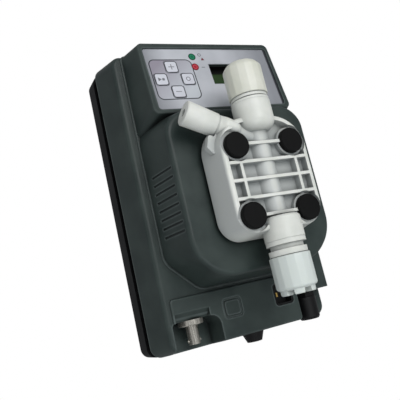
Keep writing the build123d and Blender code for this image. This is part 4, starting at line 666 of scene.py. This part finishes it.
DISCHARGE_NUT = NUT_SKIRT + [
    (NUT_RADIUS, 22.2, 1), (15.1, 23.2, 1), (14.3, 24.6, 1), (13.2, 26.0, 1), (12.0, 27.2, 1),
    (10.9, 27.85, 0.7), (10.2, NUT_LENGTH, 0.2), (7.0, NUT_LENGTH, 0), (6.4, 27.6, 0), (6.2, 26.0, 0),
] + NUT_INSIDE
NUT_SIDES, NUT_STEPS = 16, 240
# share of a true polygon's flats that the soft one has
FLAT_SHARE = 0.7
NOTCH_SLOPE = 0.03


def notch_wave(angle, count, share):
    """1 in each of count notches round the turn, 0 between them: a notch takes share of its step, with
    short slopes at its sides."""
    turn = np.abs((angle * count / (2 * np.pi)) % 1.0 - 0.5) * 2
    return np.clip((share - turn) / NOTCH_SLOPE + 0.5, 0.0, 1.0)


def polygon_radius(angle, sides):
    """Radius of a regular polygon over that of its corners: cos(pi/n) / cos(angle from a side's middle)."""
    within = (angle * sides / (2 * np.pi)) % 1.0 - 0.5
    return np.cos(np.pi / sides) / np.cos(within * 2 * np.pi / sides)


def add_union_nut(node, way, section, crown_from, notches, notch_share):
    """Union nut: the section turned round the valve axis, up for a way of 1 and down for -1. Its outside
    is a soft polygon, and heights beyond crown_from drop to it inside each notch of the castellated end."""
    low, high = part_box(node)
    start = high.z if way < 0 else low.z
    angle = turn_steps(NUT_STEPS)
    radius, height, outside = (column[:, None] for column in np.array(section).T)
    radius = radius * MM * (1 - FLAT_SHARE * outside * (1 - polygon_radius(angle, NUT_SIDES)))
    drop = np.maximum(height - crown_from, 0) * notch_wave(angle, notches, notch_share)
    level = start + way * (height - drop) * MM
    depth = middle(node).y + way * radius * np.sin(angle)
    points = np.stack([radius * np.cos(angle), depth, level], axis=-1)
    nut = grid_piece(node + "_ribbed", points, node, "union_plastic", sharp=22.0)
    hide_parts(node)


# ---------------------------------------------------------------- bleed sleeve
# where the bleed tube's axis meets the pump's middle plane, its rise to the left and its radius in mm
BLEED_ROOT = np.array([0.0, middle("bleed_stem").y, 0.0192])
BLEED_RISE = math.radians(25.6)
BLEED_RADIUS = 8.45
FRONT = np.array([0.0, -1.0, 0.0])
# distances along the axis in mm: the sleeve's two ends, where its nose is full, where its swelling starts
# to fade
SLEEVE_START, SLEEVE_END, NOSE_END, FADE_START = 17.0, 34.6, 23.0, 29.0
SLEEVE_SWELL, SLEEVE_WALL, SLEEVE_LIP = 3.2, 1.2, 0.1
NOSE_SHARE = 0.62
SLEEVE_ROWS, SLEEVE_STEPS = 40, 96


def add_bleed_fairing():
    """Sleeve over the bleed tube: a circle swept along its axis. Its front half swells by
    SLEEVE_SWELL sin(angle), which fades at the outer end by the smooth step 3 t^2 - 2 t^3. Its inner end
    closes to NOSE_SHARE by a quarter ellipse, sqrt(1 - t^2), so that the tube runs over the head's rim
    and into its corner."""
    outward = np.array([-math.cos(BLEED_RISE), 0.0, math.sin(BLEED_RISE)])
    upward = np.array([math.sin(BLEED_RISE), 0.0, math.cos(BLEED_RISE)])
    reach = np.linspace(SLEEVE_START, SLEEVE_END, SLEEVE_ROWS)[:, None]
    angle = turn_steps(SLEEVE_STEPS)
    fade = 1 - np.clip((reach - FADE_START) / (SLEEVE_END - FADE_START), 0, 1)
    fade = fade * fade * (3 - 2 * fade)
    closing = np.clip((NOSE_END - reach) / (NOSE_END - SLEEVE_START), 0, 1)
    nose = NOSE_SHARE + (1 - NOSE_SHARE) * np.sqrt(1 - closing ** 2)
    front = nose * (BLEED_RADIUS + SLEEVE_SWELL * fade * np.clip(np.sin(angle), 0, 1))
    rim = nose * BLEED_RADIUS
    rim[-1] -= SLEEVE_LIP
    outer = (
        reach[..., None] * outward
        + (rim * np.cos(angle))[..., None] * upward
        + (front * np.sin(angle))[..., None] * FRONT
    )
    spread = np.cos(angle)[..., None] * upward + np.sin(angle)[..., None] * FRONT
    inner = reach[::-1][..., None] * outward + nose[::-1][..., None] * (BLEED_RADIUS - SLEEVE_WALL) * spread
    points = BLEED_ROOT + np.concatenate([outer, inner])[::-1] * MM
    grid_piece("bleed_fairing", points, "root", "head_plastic", sharp=50.0)


# ---------------------------------------------------------------- return spring
SPRING_RADIUS, SPRING_WIRE, SPRING_TURNS = 7.0, 0.7, 4
# share of a turn that lies flat at each end
SPRING_DEAD = 0.25
SPRING_ROWS, SPRING_STEPS = 400, 16


def add_return_spring():
    """Wire round a helix (R cos, run, R sin) with a flat quarter turn at each end; it stands in for the
    CAD spring and rides on no body."""
    low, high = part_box("return_spring")
    height = middle("drive_flange").z
    turns = np.linspace(0, SPRING_TURNS, SPRING_ROWS)[:, None]
    run = np.clip((turns - SPRING_DEAD) / (SPRING_TURNS - 2 * SPRING_DEAD), 0, 1)
    start, end = low.y + SPRING_WIRE * MM, high.y - SPRING_WIRE * MM
    wire = turn_steps(SPRING_STEPS)
    reach = (SPRING_RADIUS + SPRING_WIRE * np.cos(wire)) * MM
    depth = start + (end - start) * run + SPRING_WIRE * MM * np.sin(wire)
    turn = 2 * np.pi * turns
    points = np.stack([reach * np.cos(turn), depth, height + reach * np.sin(turn)], axis=-1)
    spring = grid_piece("return_spring_wire", points, None, "steel", sharp=60.0, capped=True)
    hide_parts("return_spring")
    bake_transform(spring)


# ---------------------------------------------------------------- stage
FLOOR_HEIGHT, FLOOR_HALF = -0.5, 3.0
FLOOR_CAST = colour(225, 225, 225)
WHITE = (1.0, 1.0, 1.0, 1.0)
WORLD_TINT, WORLD_STRENGTH = (0.93, 0.96, 1.0, 1.0), 0.34
LIGHTS_AIM = Vector((0.0, -0.06, 0.0))
# area lights: name, place, width and height, watts, tint
STUDIO_LIGHTS = (
    ("key_light", (-0.02, -1.42, 0.55), (0.9, 0.9), 9.0, (1.0, 1.0, 1.0)),
    ("fill_light", (-1.3, -0.7, 0.2), (0.7, 1.2), 0.9, (1.0, 1.0, 1.0)),
    ("under_light", (-0.1, -0.75, -0.44), (0.9, 0.3), 1.6, (0.9, 0.96, 1.0)),
)


def white_to_camera(tree, lit, white, surface):
    """The camera sees white; every other ray meets lit."""
    rays = tree.add("ShaderNodeLightPath").outputs["Is Camera Ray"]
    both = tree.add("ShaderNodeMixShader", {0: rays, 1: lit.outputs[0], 2: white.outputs[0]})
    tree.link(both.outputs[0], surface)


def add_floor():
    """Square floor of side 2 * FLOOR_HALF below the pump, pale and matt."""
    finish = bpy.data.materials.new("pale_floor")
    finish.use_nodes = True
    nodes = finish.node_tree.nodes
    nodes.remove(nodes["Principled BSDF"])
    tree = Tree(finish.node_tree)
    matt = tree.add("ShaderNodeBsdfDiffuse", {"Color": FLOOR_CAST})
    white = tree.add("ShaderNodeEmission", {"Color": WHITE, "Strength": 1.0})
    white_to_camera(tree, matt, white, nodes["Material Output"].inputs["Surface"])
    corners = [(x * FLOOR_HALF, y * FLOOR_HALF, 0) for x, y in ((-1, -1), (1, -1), (1, 1), (-1, 1))]
    mesh = bpy.data.meshes.new("floor")
    mesh.from_pydata(corners, [], [(0, 1, 2, 3)])
    mesh.materials.append(finish)
    floor = bpy.data.objects.new("floor", mesh)
    floor.location.z = FLOOR_HEIGHT
    bpy.context.scene.collection.objects.link(floor)


def add_world():
    """White seen by the camera, soft blue-white light for everything else."""
    world = bpy.data.worlds.new("studio")
    world.use_nodes = True
    bpy.context.scene.world = world
    nodes = world.node_tree.nodes
    tree = Tree(world.node_tree)
    light = nodes["Background"]
    light.inputs["Color"].default_value = WORLD_TINT
    light.inputs["Strength"].default_value = WORLD_STRENGTH
    white = tree.add("ShaderNodeBackground", {"Color": WHITE, "Strength": 1.0})
    white_to_camera(tree, light, white, nodes["World Output"].inputs["Surface"])


def add_area_light(name, place, size, watts, tint):
    """Area light at place, aimed at the pump."""
    data = bpy.data.lights.new(name, "AREA")
    data.shape = "RECTANGLE"
    data.size, data.size_y = size
    data.energy = watts
    data.color = tint
    lamp = bpy.data.objects.new(name, data)
    lamp.location = place
    lamp.rotation_euler = (LIGHTS_AIM - Vector(place)).to_track_quat("-Z", "Y").to_euler()
    bpy.context.scene.collection.objects.link(lamp)


# ---------------------------------------------------------------- making
make_materials()
dress_nodes()
add_union_nut("suction_nut", -1, SUCTION_NUT, crown_from=24.6, notches=6, notch_share=0.42)
add_union_nut("discharge_nut", 1, DISCHARGE_NUT, crown_from=27.2, notches=8, notch_share=0.3)
add_bleed_fairing()
add_return_spring()
add_camera()
add_floor()
add_world()
for light in STUDIO_LIGHTS:
    add_area_light(*light)
bpy.context.scene.view_settings.view_transform = "Standard"
